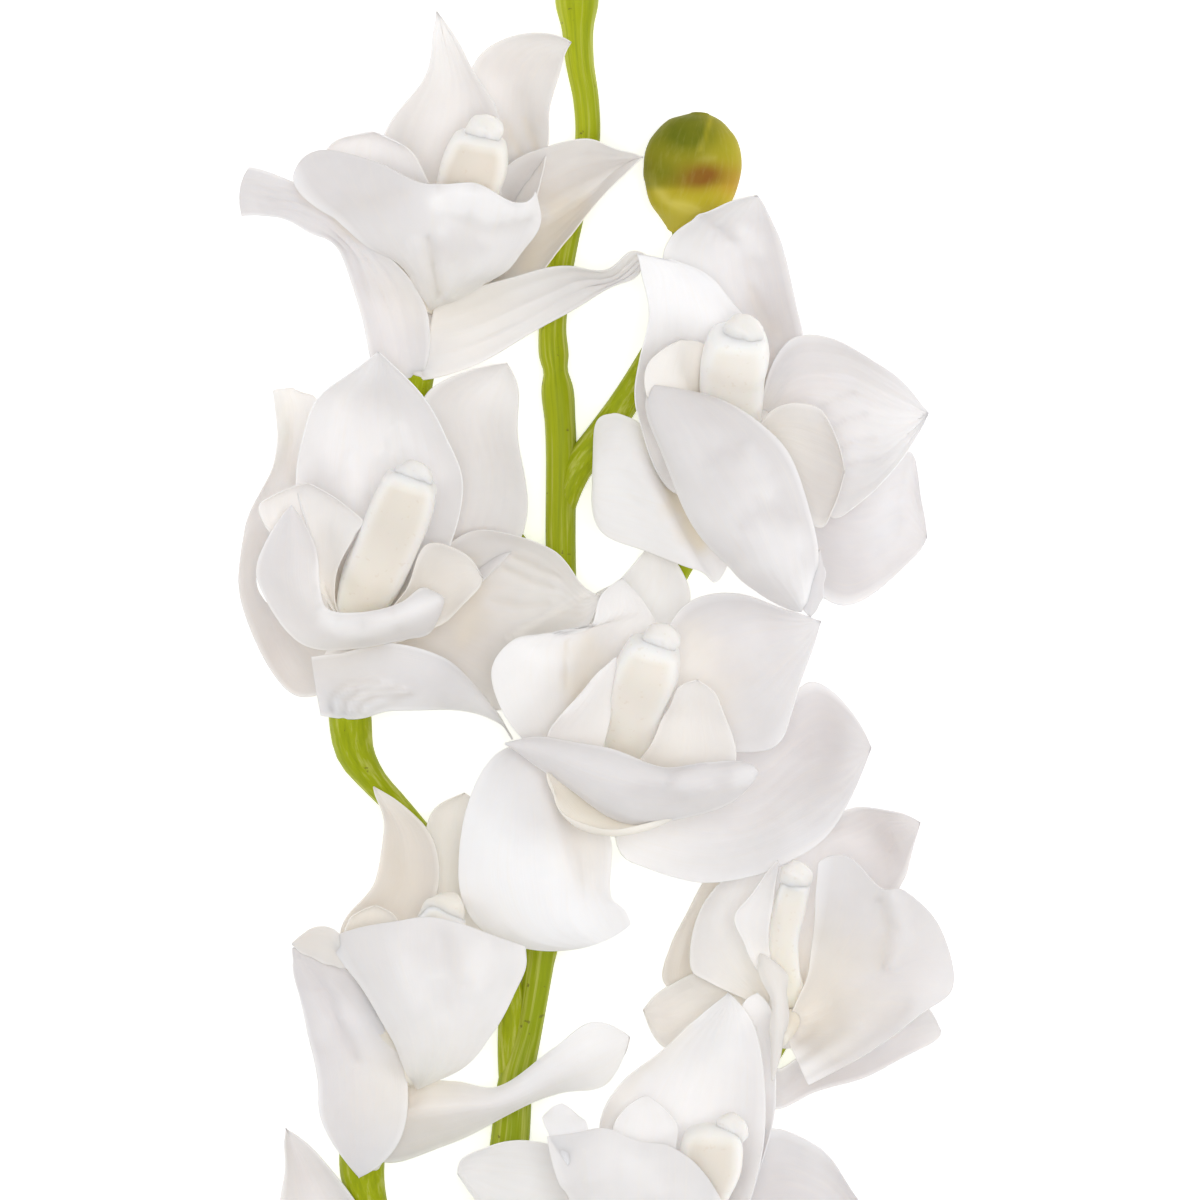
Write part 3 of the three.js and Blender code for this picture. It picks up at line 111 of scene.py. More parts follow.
# Each blade is its shading and its ribs. The shading is painted shade: how dark the blade is,
# how tan (partly its own colour, partly painted warm shade), and, where it changes over the
# blade, how much darker it turns to the right and toward the stem's tip. "shades" are the
# painted shade of the column (below 0, painted light) and the darkness of its cap, where -1 is
# the palest.
BLOOMS = {
  "bloom_1": {
   "receptacle": [[-45.5,57.5,14,4.2], [-43.5,63,15,4.6], [-40.5,70,15.5,4.8]],
   "claw": [[-41.5,74,20,2.6], [-42,77,27,2.8], [-42,80,33.5,2.4], [-42,83.5,39,1.8]],
   "column":
    [[-39.5,83,23.5,4.4], [-36.5,92,29,7], [-33,103.5,34,8], [-31,110,37,8.1], [-30.3,113.2,38.4,7.2]],
   "cap": [[-31.5,115.9,38.77,3.03], [-28.8,117.2,39.4,3.87], [-26.1,116.8,38.77,3.03]],
   "shades": (0.75, -1),
   "tepals": {
    "dorsal": ((0.35, 0.15, 0.5, -0.15),
     [[-42,70,18], [-56,94,28, -42,92,17, -27,92,24], [-54.5,115.5,30, -40,116,19, -25,119,25],
      [-44.5,130,31, -38,131,24, -30.5,131,26], [-41.7,140.5,31, -39,141,29, -35.6,139.8,29],
      [-40.8,147.3,31]]),
    "petal_right_up": ((0.3, 0.2, 0.1, 0.45),
     [[-38,70,18], [-33,94,16, -26,92,11, -19,92,18], [-33,116,19, -22,116,12, -13.6,113,22],
      [-31.8,134.5,21, -21,131,15, -12.4,124,22], [-23.5,140.6,22, -16,137.5,18.5, -10.6,131.5,22],
      [-13,142.1,23, -10.5,139.4,21.5, -8.8,136.6,23], [-7.2,139.8,24]]),
    "petal_right": ((0.2, 0.2, -0.4, 0.5),
     [[-38,68,16], [-24,108,20, -20,102,12, -19,95,8.5, -20,87,11, -22,79,19],
      [-13,113.8,24, -11.5,107,16, -11.5,98,7.5, -12,90,12.5, -14.5,81.5,22],
      [-4,115.3,26, -3,110,18, -3,103,10, -5,97,15, -7.5,91.5,23],
      [4,113.7,26, 4.5,111,20, 4.5,108.5,15, 3,106,17, 1.2,101.5,23.5], [10.8,111.1,23]]),
    "sepal_right": ((0.5, 0.1, 0.35, -0.5),
     [[-41.3,75,25, -43,66,22, -45,55.2,17], [-34,77,27.5, -33,68,20, -33,58.2,18],
      [-22,81,27.5, -19.5,73.5,20, -17,67,19], [-8,83.4,25.5, -5.5,79.3,19, -3.5,74.8,20],
      [2,82.9,24, 3.5,80.5,20.5, 4.5,79,21], [8.5,87,25, 9.5,84.8,22.5, 9.3,81.8,22], [11.2,86.3,24]]),
    "sepal_left": ((0.75, -0.1, -0.5, -0.35),
     [[-56,54.5,18, -50,55.5,16.5, -44.2,57,17.3], [-57.8,62,26, -50,64.5,21.5, -42.7,64,25.5],
      [-61,75,30.5, -53,75,25, -43.5,73.5,28.5], [-65.2,87.5,33, -59,86,29.5, -52,85,32.5],
      [-73,92,30, -70.5,96.5,31, -68,99.5,33], [-81,96,21.5, -80.5,101,26, -79.5,105.9,28],
      [-90.2,96.3,12, -90.5,103,17, -88.2,108.6,19.5]])},
   "lip": {
    "front": ((0.5, 0.05, -0.1, 0.3),
     [[-42.5,73,26], [-49.5,83,32, -47,82,35.5, -44,80.5,38.5, -41,79.3,37.5, -37.5,78.6,38,
       -34,78.2,37, -30,78.2,34], [-62,91.5,37, -56,91.5,42, -49,90.5,45, -42,89,46.5, -34,86.5,45.5,
       -27,84,43.5, -20.5,85.5,39.5],
      [-74,101,39.5, -65,103,45, -54,100,48.5, -43,97,50.5, -32,95,49, -23,93,46.5, -15.3,94,41],
       [-76.5,105.8,38.5, -70,112.2,44, -56,109.2,50, -43.5,103.6,53, -31,103.8,53, -21.3,99.3,50,
       -16.6,101.8,44]]),
    "lobe_left": ((-0.15, 0.1, -0.2, 0),
     [[-42,80,31], [-52,92,33, -48,94,32, -43,94,33], [-69,109,35.5, -57,108.5,33.5, -42.5,104,38],
      [-65.2,114.8,38.5, -57,115.7,36.5, -48.3,112.5,41], [-56.5,117,40]])},
  },
  "bloom_2": {
   "receptacle": [[40,39,10.5,5], [39.5,41.5,14,6], [38.5,44,17.5,5]],
   "claw": [[37,41,20,3.2], [34,36.5,28,3.4], [33,32,38,3.4], [31,29,53,2.2]],
   "column":
    [[34,42,20,6], [33,50,28,7.8], [33.2,57,34.5,8.2], [34,61.3,38.5,8.3], [34.3,64,40.5,7.6]],
   "cap": [[32.6,66.3,41.38,3.03], [35.7,66.9,42.45,4.24], [38.7,66,41.57,3.03]],
   "shades": (-0.25, -1),
   "tepals": {
    "dorsal": ((0.65, 0, 0.4, -0.15),
     [[39.5,42,14], [28,58,20, 40,58,14, 49.5,60,19], [16,80,25, 34,78,15, 49.4,74,22],
      [18,90.5,26, 33,90,18, 45.6,88.5,24], [28,98,27, 36,97.5,23, 43.2,95.5,25], [39.5,101.4,26]]),
    "petal_left": ((-0.35, 0, 0.5, 0.5),
     [[39.5,42,14], [20,26.5,21, 22,37,20, 32,45,18], [9,47,34, 17,54,27, 33,60,20],
      [10.4,60,38, 20,66,29, 36.3,69.5,24], [11.7,72,38.5, 19,76,31, 32.5,75.5,27],
      [10.5,81,37.5, 17,83,33, 25.5,82.3,29.5], [9.2,86.2,36.5]]),
    "petal_right": ((0.35, -0.15, -0.35, 0.1),
     [[39.5,42,14], [46,64,24, 50,50,17, 52,36,21], [58,65.4,27, 62,48,19, 57.5,21,25],
      [72,57.6,28, 73,44,22, 67,26,27], [80,50,27, 79.5,45,25, 78,38.4,27], [82.4,46.8,27]]),
    "sepal_right": ((0.65, -0.15, -0.5, -0.35),
     [[39.5,42,14], [56,32,10, 54,20,6, 50,8,12], [69,34,9, 66,18,0.6, 60,-1.3,6],
      [79,36.5,8, 76,22,0.2, 70,2.4,3.5], [81.4,24,5.5, 80.5,18,2.6, 79,10.5,4], [82.5,15.8,5]]),
    "sepal_left": ((0.25, 0.05, 0.5, 0.5),
     [[39.5,42,14], [17,40,13, 21,26,12.5, 31,6.5,17], [8.3,45,21.5, 13,30,27, 24,7.6,25],
      [3,46.9,20, 5,33,24.5, 12,12,23], [-1,43,16.5, -0.2,32,20.5, 0.5,17.5,19.5], [-1.7,28,17.5]])},
   "lip": {
    "front": ((0.65, 0.05, 0.5, 0.45),
     [[13.2,53.4,41], [11.7,46,42, 15,47,46.5, 20,48,49, 25.5,49.5,49, 31,49.6,47],
      [18.2,30,44, 23,32,52, 30,35,56, 37,38.5,54.5, 43.3,40.6,48],
      [25,15.8,44, 31,17.5,54, 38.5,20.5,57.5, 45.5,24.5,54, 50.8,27.5,46],
      [34,7.2,41, 39,7.6,49.5, 44,8.8,53, 49.5,11,50.5, 53.8,12.5,44],
      [43.5,-0.8,38, 46.3,0,43, 48.8,1.2,45.5, 51,2.8,44.5, 52.6,4.2,42], [50.2,-2.8,39.5]]),
    "fold_low": ((0.85, 0, 0.2, 0.3),
     [[54.6,12.5,41], [52.8,8,44.5, 54.4,8,42.5, 56,7,39], [51.6,3,43, 53.8,2.2,41, 55.8,2,38.5],
      [50.2,-1.2,41, 52.6,-1.8,40, 55,-1.2,38.5], [52.6,-4.3,39]]),
    "lobe_left": ((-0.1, 0.35, -0.5, 0.05),
     [[33.5,36,30], [20,45,38, 24,46,34, 26.5,48,28.5], [11.2,52,43, 18,56,38.5, 26.8,60,33],
      [13.2,60.4,41.5, 19.5,62.4,38.5, 25.6,64.2,35], [20,65,39]]),
    "lobe_right": ((0.85, 0.2, 0.25, -0.4),
     [[34.5,36,30], [42,46.3,36, 44,40,33, 46,30,36], [50,49.2,37, 54,36,33, 52.5,19,38],
      [58,43.5,36, 60,33,34, 58,21.5,37], [61,32,35]])},
  },
  "bloom_3": {
   "receptacle": [[-65.2,-26.3,13.8,5], [-64.8,-20,15,6.2], [-62,-13,16,5.6]],
   "claw": [[-61,-9.8,21,2.6], [-60.6,-9.6,29,2.8], [-60.2,-8.2,37,2.2], [-60,-6.8,43,2]],
   "column":
    [[-61.5,-4,21,4.8], [-57.3,5,27.5,7.6], [-52.6,15.5,33.5,7.8], [-48.9,24.5,38.5,7.6],
     [-47.6,28.4,40.2,6.9]],
   "cap": [[-49.3,30.7,39.88,3.03], [-46.5,30.8,40.86,3.75], [-44.2,29.4,39.88,3.03]],
   "shades": (0.25, -1),
   "tepals": {
    "dorsal": ((-0.2, 0.05, -0.5, -0.5),
     [[-63,-17,17], [-70,6,30, -57,6,18, -42,4,27], [-75.4,30,36, -56,30,16, -34.6,28,33],
      [-73,46,38, -56,47,20, -39,42.5,35], [-64,55.4,39, -55.5,57,33, -48,55,37], [-55.3,62.1,40]]),
    "petal_left": ((0.55, 0.15, 0.5, -0.4),
     [[-63,-17,17], [-77,-24,9, -74,-14,6, -68,0,14], [-90.6,1,4, -82,8,-0.6, -72,14,12],
      [-89.3,18,6, -80.5,23,3, -70,26,10], [-82.2,34,13, -77.5,40,7, -71,44,7],
      [-81.4,46,16, -77.5,49,10, -71,50,9], [-82.1,52.6,17, -79,53,14, -73,51.6,10.5]]),
    "petal_right": ((0.7, 0.15, -0.5, -0.1),
     [[-63,-17,17], [-46,14,19, -36,12,14, -26,8,17], [-42,36,20, -31,33,13.5, -18.4,22,18],
      [-44,51,21, -32,47,14.5, -20.3,42,19], [-33,57.2,20, -26.5,55.8,16, -21.1,53.8,19],
      [-23.5,59.3,19]]),
    "sepal_right": ((0.5, 0.2, -0.5, -0.15),
     [[-63,-17,17], [-38,14,20, -37,2,15, -40,-18.5,17.5], [-24,17.2,22, -20,2,13.5, -24.5,-27.5,15.5],
      [-12,12,22, -10,1.5,15, -10,-15,17.5], [-4.5,4,22, -4,-1,19, -3,-7.2,19.5], [0,0.9,21]]),
    "sepal_low": ((0.55, -0.05, -0.05, 0.45),
     [[-72.3,-14.2,25, -71.4,-21,21, -70.2,-29,16], [-64,-13,29, -63,-21,24, -61,-29.8,18],
      [-52,-10.8,34, -52,-19,32, -51,-27.7,26], [-38,-15,31, -39,-21.5,30, -38,-27.8,25],
      [-30,-23.6,26, -29,-26,26, -28.4,-28.9,23.5], [-22,-35,20]])},
   "lip": {
    "front": ((0.75, 0.05, 0, 0.05),
     [[-77,23.7,44], [-83.5,14,38, -77,14,43, -71.5,14,40], [-85.5,4,36, -77,4,42, -70,3,41],
      [-75,-10.5,34, -71.5,-7,42, -67.6,-2.6,44], [-60,-12.3,35, -60,-7.5,45, -60,-3.1,47],
      [-48,-9.6,37, -49,-5,46, -49.5,-0.7,46], [-41.5,-6.5,38, -40.5,-1.5,43, -43.5,3.1,42],
      [-39,0.5,40]]),
    "lobe_left": ((0.1, 0.2, -0.1, 0.45),
     [[-60.5,-12,34], [-73,6,34, -70,6,32, -66.5,5,34], [-84,19,36, -73,18,33, -61.3,16,37],
      [-83,26,37, -73,26.5,35, -61,22,38], [-73,28.9,37]]),
    "lobe_right": ((1, 0.35, -0.4, -0.5),
     [[-60.5,-12,34], [-49,2,33, -46,0,30, -47,-9.4,34], [-43,14,34, -38,5,31, -38,-4.8,35],
      [-34,11.6,34, -32,7,33, -31,2,35], [-29.3,5.5,34]])},
  },
  "bloom_4": {
   "receptacle": [[3,-48,18,5], [4,-43.5,22,6.5], [6,-38,24,5]],
   "claw": [[5,-43,25.5,3.2], [4,-46,34,3.4], [4,-48.5,43,3.4], [4,-47.5,55,2.2]],
   "column":
    [[5.5,-42,26,6], [6.5,-33.5,32,7.6], [9.3,-24.5,38,7.7], [12.2,-16.2,42.8,7.8], [13,-13.4,44.3,7]],
   "cap": [[12.8,-11,44.38,3.03], [15.3,-9.7,45.26,3.75], [17.9,-10.7,44.43,2.9]],
   "shades": (-0.1, -1),
   "tepals": {
    "dorsal": ((0, 0.05, 0.5, 0.15),
     [[4,-43,21], [-3.5,-16,15, 6,-14,12.5, 16,-14,15.5], [-2.4,0,13.6, 9,-2,10.5, 22.6,0,14.5],
      [6,6,13.5, 13,6,11.5, 20.6,7.2,14], [13,15,13]]),
    "petal_left": ((0.2, 0.15, -0.1, 0.35),
     [[4,-43,21], [-20,-34,37, -14,-31,36.5, -8,-29,34.5, -2.5,-27,30, 3,-24,27],
      [-27.2,-18,41, -18,-17.5,41.5, -8.7,-17,39.5, -1,-15.5,33, 7,-15,28],
      [-21.8,-10.3,41, -15,-9.9,41.5, -9,-9.4,39.5, 2,-8,34.5, 12.5,-8,29],
      [-2.6,-6.8,38.5, 1.2,-4.7,37.5, 5,-3.2,35.5, 9,-2.6,33, 12.8,-3.4,30],
      [0.2,0.9,37, 2.6,1.6,36.6, 5,1.8,35.8, 7.4,1.5,34.8, 9.8,0.6,33], [5.6,5.5,35]]),
    "petal_right": ((0.55, 0, -0.1, 0.25),
     [[4,-43,21], [13,-18,30, 22,-26,26, 32,-38,34], [20,-2,33, 30,-18,26, 43,-37,38],
      [35,1.3,34, 42,-12,30, 47.5,-28.5,38], [48,-2.8,35, 50.5,-8,34, 52.4,-15,36], [55.3,-5.3,35]]),
    "sepal_right": ((0.7, -0.05, 0.1, 0.4),
     [[4,-44,21], [13,-42,26, 10,-52,25, 4.5,-61.8,29], [26,-38,23, 19,-53,23, 12,-67.3,30],
      [42,-30,21, 38,-52,22, 28,-70.5,33], [54,-20.5,20, 54,-42,23, 46,-66.2,32],
      [63,-27.8,23, 62,-40,26, 59,-56.2,30], [68,-37,26]]),
    "sepal_left": ((0.4, 0, 0.5, 0.5),
     [[4,-43,21], [-24.5,-37.3,35, -19,-40,38, -12.5,-45.5,38.5, -6,-50,32, 0,-53,29],
      [-33.8,-55,33, -23,-56,38.5, -11,-58.5,39.5, -4,-60,33, 3,-61.5,31],
      [-35,-73,31, -24,-71,38, -9,-70,40.5, -3,-71.5,37, 2.7,-74,35],
      [-26,-84.8,30, -18,-83,36, -8,-80.5,39, 0,-78.5,37.5, 6.5,-77.8,35],
      [-9,-87.6,33, -4,-86.8,35.5, 0,-85.6,36.5, 4,-83.8,36, 7.6,-81.2,34.5]])},
   "lip": {
    "front": ((0.75, 0.05, 0.15, 0.5),
     [[-23.5,-35.8,46],
      [-14,-34.2,51.5, -14.3,-36.3,54, -14,-38.6,54, -13.4,-41,51.5, -12.4,-43.6,47.5],
      [-1,-36.4,55, -1,-40.2,59, -0.2,-44.6,59, 0.8,-49.2,55.5, 2,-53.8,49.5],
      [13,-41.2,57.5, 13.6,-44.2,61, 14,-48,60.5, 14.4,-52,56.5, 15,-55.6,50.5],
      [26.5,-41,57.5, 27,-43.2,60, 27.5,-46,59.5, 28,-49,56.5, 29,-51.6,52.5],
      [36.4,-40.3,54, 37.6,-41.6,56, 38.2,-43.2,56, 38,-45,55, 36.8,-47,52.5], [39.6,-42.6,53]]),
    "pouch": ((-0.1, 0.35, -0.5, -0.5),
     [[-13,-43,50], [-12,-46,50, -10,-48,47.5, -3,-45,42], [-8,-54,50, -3,-56,47, 2,-47,41],
      [2,-57,52, 4,-57.5,49, 6,-48,42], [14,-55,52, 14,-55,50, 9,-47,44], [18,-54,52]]),
    "lobe_left": ((0.15, 0.15, -0.4, 0.05),
     [[3,-45.5,37], [-13,-34.5,46, -8,-34,44, 1,-37,41.5],
      [-5.5,-24,48, -2.5,-24.5,47, 3.2,-25.5,42.5], [4,-14.3,47.5]]),
    "lobe_right": ((0.45, 0.25, -0.35, -0.4),
     [[5,-45.5,37], [12,-37,42, 22,-40,41, 33,-42,46], [16.5,-28,43, 23,-29,41, 31.6,-30,45],
      [20,-21.5,45, 24,-21.5,44, 28.2,-23,46], [24.3,-19.8,45.5]])},
  },
  "bloom_5": {
   "receptacle": [[-60,-141,15,5], [-56,-130,16,5.2], [-51.5,-114,18,6]],
   "claw": [[-50,-116,22,3.2], [-47,-118,27,3.8], [-44,-114,33,3.6], [-42,-109,38,2.4]],
   "column":
    [[-49,-118,22,5.5], [-46,-106,28,7], [-43,-94,32,7.6], [-40.6,-84,34.6,6.8],
     [-38.8,-79.6,35.6,5.6]],
   "cap": [[-43.4,-80.6,34.4,3], [-39.5,-78.2,35.4,4.4], [-36.2,-77.2,35.2,4.1]],
   "shades": (0.5, 0.5),
   "tepals": {
    "petal_left_up": ((0.9, 0.45, 0.3, 0),
     [[-54,-112,18], [-65,-84,22, -54,-84,16, -44,-82,20], [-56.3,-70,24, -48.5,-70,18, -40,-69,23],
      [-54,-58,23, -49.5,-58,19, -43.6,-57.5,22], [-55.8,-51,21, -53.5,-51.5,19.5, -49.5,-51.3,20],
      [-56.9,-46.8,20]]),
    "petal_right_up": ((-0.25, 0.4, -0.5, 0.5),
     [[-50,-112,17], [-46,-80,17, -38,-78,13, -28.5,-83,16.5],
      [-44.5,-60,17, -36,-60,12.5, -28,-60,16], [-41,-52.4,16, -35.5,-52.5,13.5, -29,-53,15.5],
      [-34,-48.6,15.5]]),
    "sepal_left": ((0.8, -0.1, -0.45, 0.05),
     [[-60.5,-145,18], [-69.6,-131,28, -60,-131,27, -50,-135,25],
      [-70.7,-120,33, -60,-118,33, -48.2,-120,30], [-73,-107,35, -64,-104,38, -53,-105,35],
      [-75.6,-96,34, -70,-96,37, -60.5,-94.5,36], [-76.7,-86.9,35]]),
    "sepal_right": ((0.45, 0, -0.25, -0.2),
     [[-59,-138,17], [-46.5,-121.3,21.5, -46.5,-125,23.5, -47,-129,24.5, -48,-135,20, -50,-141,15],
      [-37,-120.6,21.5, -37,-124,23.5, -37,-127.5,24.5, -37,-131.8,21, -37,-136.3,16.5],
      [-26,-122.3,21.5, -25.6,-124.2,23, -25,-126.2,23, -24.5,-127.8,21, -24,-129.4,18],
      [-12,-112.6,22.5, -11.6,-115.6,22.5, -11,-119,21.5, -10.5,-121.6,19, -10,-123.6,16.5],
      [-1,-105.9,23.5, 0.6,-109,22, 2.2,-113,20.5, 3.2,-116.5,18.5, 2.8,-120.2,16.5], [7.4,-109.6,22]])},
   "lip": {
    "front": ((0.35, 0.1, -0.15, 0.3),
     [[-46,-122.5,26], [-49.8,-115,36, -47.5,-114.5,38, -44.5,-113.8,39, -41,-113.5,38.5,
       -38,-113.6,38, -34.5,-114,36.5, -31.5,-114.5,34], [-56,-102,41, -52,-101,44.5, -47,-100,46.5,
       -41,-99.3,45.5, -35.5,-99.6,45, -29.5,-101,42, -24,-103.3,37.5], [-63,-92,42.5, -57,-91,46.5,
       -50.5,-90,48.5, -43,-90,46.5, -35,-90.5,47, -27,-92,44, -19.6,-94.5,38.5], [-67.5,-84.5,40,
       -60,-81.8,44.5, -51.5,-80.3,47, -43,-79,46, -35,-80.6,46.5, -27,-83.7,44, -18.9,-86.6,38.5]]),
    "tab": ((0.85, 0.3, -0.35, 0.25),
     [[-63,-92,42], [-68,-91,39.5, -66.5,-86,42, -65,-83.5,42],
      [-74,-88.4,37.5, -73,-84.5,39, -71,-81.6,40], [-77,-86,36.8]]),
    "lobe_left": ((0.65, 0.5, -0.25, 0.15),
     [[-45.5,-116,31], [-56,-108,36, -54,-107,35.5, -52.5,-107,36],
      [-64,-92,35, -59,-91,34, -53,-90,36], [-63.2,-81.5,36, -57,-79.8,35, -50.2,-82,37],
      [-61,-78.2,36, -56.6,-77.3,35.3, -52,-78,36.6], [-56.4,-76.3,36]])},
  },
  "bloom_6": {
   "receptacle": [[46,-110,12,4.5], [47,-105,15,5.6], [47.5,-100,18,4.6]],
   "claw": [[47.5,-105,18,3], [47.5,-105.3,22.5,2.8], [46.8,-107,30,2.5], [45,-109.3,38,2.2]],
   "column":
    [[48,-100,20,4], [46,-92,24.5,4], [45.8,-84,28.5,4.1], [47.6,-76,32.4,4.1], [48.8,-71.6,34.4,3.7]],
   "cap": [[47.1,-69.1,34.38,3.03], [49.1,-69,35.31,3.63], [51,-69.1,34.43,2.9]],
   "shades": (-0.2, -1),
   "tepals": {
    "dorsal": ((0.8, 0.05, 0.5, 0.05),
     [[47,-105,15], [42.5,-76,20, 56,-76,14, 66,-82,20], [47.5,-60,20, 60,-64,14, 72,-78,20],
      [61,-53,20, 69,-60,15, 76,-70.5,21], [67,-52.3,20, 73,-57,18, 77.4,-66,21],
      [76,-53.5,20, 78,-56.5,20, 79.3,-60,21], [80.4,-55.8,20]]),
    "petal_left": ((0.15, 0.1, -0.5, 0),
     [[47,-105,15], [28,-96,20, 35,-93,18, 41,-90,22], [22.5,-92,20, 31,-86,18, 40,-80,24],
      [26.5,-75,20, 33,-75,18, 44.5,-71.5,21.5], [39.5,-64.8,20]]),
    "petal_back": ((0.3, 0.45, -0.5, 0.05),
     [[47,-105,15], [16.3,-97,10, 26,-96,7, 36,-94,10], [18,-87,10, 26,-86,7, 36,-84,10],
      [24.3,-74,11, 31,-74,8, 40,-72,11], [34,-60,10]]),
    "sepal_left": ((0.55, 0.3, -0.5, -0.25),
     [[47,-105,15], [36,-93,17, 33,-99,14, 32,-105,14], [25,-93.5,15, 24,-101,13, 24,-108,13],
      [15.5,-98.3,14, 15,-105,12, 16,-112.3,12], [11,-103,13]]),
    "sepal_right": ((0.65, 0, -0.25, -0.5),
     [[46,-106,13], [45,-118,13, 44,-123,10, 43,-127.2,11], [56,-111,7, 55,-117,3.6, 54,-124.2,7],
      [68,-108,6, 67,-113.5,-0.1, 66,-120.1,5], [77,-104,7, 77,-109,2, 77,-115,5],
      [83.2,-103.5,10, 84.7,-107,8, 85.3,-110,8], [85.8,-108.5,8.5]])},
   "lip": {
    "front": ((0.8, 0.05, -0.05, -0.05),
     [[46.5,-106,25], [50.5,-98,25.5, 51.2,-99,24.5, 52,-100.2,23.8, 52.7,-101.6,23.4, 53,-103.2,23.4,
       53,-105,23.8, 52.2,-107,24.5, 50.5,-109.4,26, 47.5,-111.4,28], [53,-87,28, 56,-88,27, 59,-90,26,
       61.5,-92.8,25.8, 62.8,-96,26, 62.8,-99.5,26.4, 60.5,-104,27.4, 56,-109.5,29.5, 49,-114.5,32],
       [53.8,-75.5,33.5, 59.5,-76,32.5, 65,-79.5,32, 70,-83.5,33, 73.8,-89,33.5, 74.5,-95,33.5,
       70.5,-102,33.5, 62,-110.3,34, 50.5,-118,35], [54.5,-65.6,37, 62,-64.2,38.5, 70,-71.8,39,
       76.2,-72.6,41, 84.8,-81.6,39.5, 88.3,-96.5,36.5, 79.5,-103.8,38, 67,-113,38, 52,-121.2,37]]),
    "lobe_left": ((0.2, 0.1, -0.5, 0.4),
     [[46.6,-106,31], [41,-95,34, 42,-95,33.5, 43.5,-95,34], [36.5,-87,34, 39,-88,33, 42.4,-88,34],
      [33.5,-80,35, 38,-80,34, 42.6,-80,36], [37.3,-74,35, 40.5,-72,34, 43.7,-73,36], [44.6,-65.3,35]]),
    "lobe_front": ((0.65, 0.2, 0.45, -0.05),
     [[43,-120,36], [42.5,-110,39, 44.5,-110,40, 46.5,-108,38], [42.6,-100,40, 44.8,-99,41, 47,-98,39],
      [39.5,-92,38, 42.5,-91,39, 45.5,-92,38], [40,-88.5,36]])},
  },
  "bloom_7": {
   "receptacle": [[23,-183,14,5], [24,-178,17,7], [26,-172,20,5.5]],
   "claw": [[20,-177,23,3.6], [15,-176,29,4], [11,-171,35,3.8], [10,-166,40,2.4]],
   "column":
    [[22,-174,24,6], [23.8,-161,30,6.2], [25.6,-149,35,6.4], [27.6,-140,38.4,8], [28,-135,39.8,7.5]],
   "cap": [[30.6,-131.9,39.17,3.03], [32.7,-132.1,39.71,3.63], [34,-134.1,38.97,3.03]],
   "shades": (0.35, -1),
   "tepals": {
    "dorsal": ((0.15, 0.05, 0.5, -0.45),
     [[24,-176,22], [0,-136,35, 20,-140,23, 40,-142,29], [6,-120.8,35, 24,-122,24, 41,-122,29],
      [20,-109,33, 29,-109,27, 39.4,-109,29], [29,-101,31, 32,-102,29, 35.4,-101.6,29], [32,-98.3,30]]),
    "petal_right_up": ((0.7, 0, -0.3, -0.5),
     [[30,-172,16], [36,-142,20, 40,-137,19, 43,-132,21], [37,-115,21, 40.5,-115,21, 44,-113,22],
      [36,-101,23, 39,-101.5,23, 42.3,-101.5,23], [39.5,-98.6,23]]),
    "petal_right": ((1, 0, -0.35, -0.5),
     [[30,-174,18], [40,-134,20, 42,-152,12, 42,-170,18], [55,-137.5,16, 56,-154,8, 55,-172,14],
      [65,-150.5,12, 66,-160,7, 64,-172,10], [72,-164,10]]),
    "sepal_left": ((0.1, 0.1, 0.5, 0.1),
     [[18,-178,16], [2,-142,18, 2,-154,13, 4,-172,18], [-14,-136.2,20, -14,-150,14, -10,-170,19],
      [-27,-136.8,22, -26,-147,18, -22,-163,20], [-35,-141,24, -34.5,-144,22, -32,-149,22],
      [-35.6,-144,23]]),
    "sepal_right": ((0.5, 0.1),
     [[28,-180,16], [34,-186,14, 26,-192,9, 17,-192,14], [38,-206,12, 27,-210,5, 15,-207,12],
      [35,-224,11, 28,-226,7, 20,-223,11], [29,-234,10]])},
   "lip": {
    "front": ((0.35, 0.1, 0.25, 0.2),
     [[16,-180,26],
      [-1,-168,36, 1.5,-169,38, 5,-170,39.5, 10,-171.5,40.5, 15,-172.5,39.5, 20,-172,37, 25,-170,33],
      [-8,-150,43, -4,-150,47, 1,-150.5,49, 9,-152,50.5, 16,-154.5,49, 22.5,-157.5,45.5, 28,-161,40],
       [-12,-140.5,43.5, -6.5,-139,48, 0.5,-138.5,51.5, 9,-141,51.5, 17,-143.8,51, 23.5,-148.5,47.5,
       30,-154,42], [-13,-133.9,41.5, -6.5,-133,46, 1,-131.5,50, 9.5,-134.8,50.5, 17,-136,50,
       24.5,-141.2,47.5, 30.5,-150.8,42]]),
    "tab": ((-0.35, -0.1, -0.2, 0),
     [[-8,-141,46.3], [-13,-133,41, -8,-133,43, -3,-133,44],
      [-13.8,-128.5,36, -9,-128.5,38, -5,-129,39], [-9.5,-125.8,36]]),
    "lobe_left": ((0.05, 0.1, 0.5, -0.4),
     [[14,-174,31], [4,-140,40, 10,-140,39, 19,-138,39], [4.5,-129,40, 11,-129,39, 18.5,-129.5,39],
      [11.5,-123.8,40]])},
  },
  "bloom_8": {
   "receptacle": [[-61,-203,11.5,5], [-61.8,-198,14.5,6.4], [-62,-193,17,5]],
   "claw": [[-62.5,-199,20,3.4], [-63,-203,25,3.8], [-63,-206,31,3.4], [-63,-208,36,2.2]],
   "column":
    [[-63.5,-198,20,5.5], [-63.5,-194,28,6.5], [-63.5,-190,36,7.2], [-63.5,-187,41.5,7.2],
     [-63.5,-186,44.5,6.4]],
   "cap": [[-65.1,-184.4,45.77,3.03], [-62.9,-183.8,46.26,3.75], [-61.1,-184.3,45.63,2.9]],
   "shades": (0.2, -1),
   "tepals": {
    "dorsal": ((0.8, 0.1, -0.2, -0.15),
     [[-62,-192,18], [-74,-178,20, -64,-176,12, -54,-176,18], [-80,-158,20, -69,-157,11, -58,-158,17],
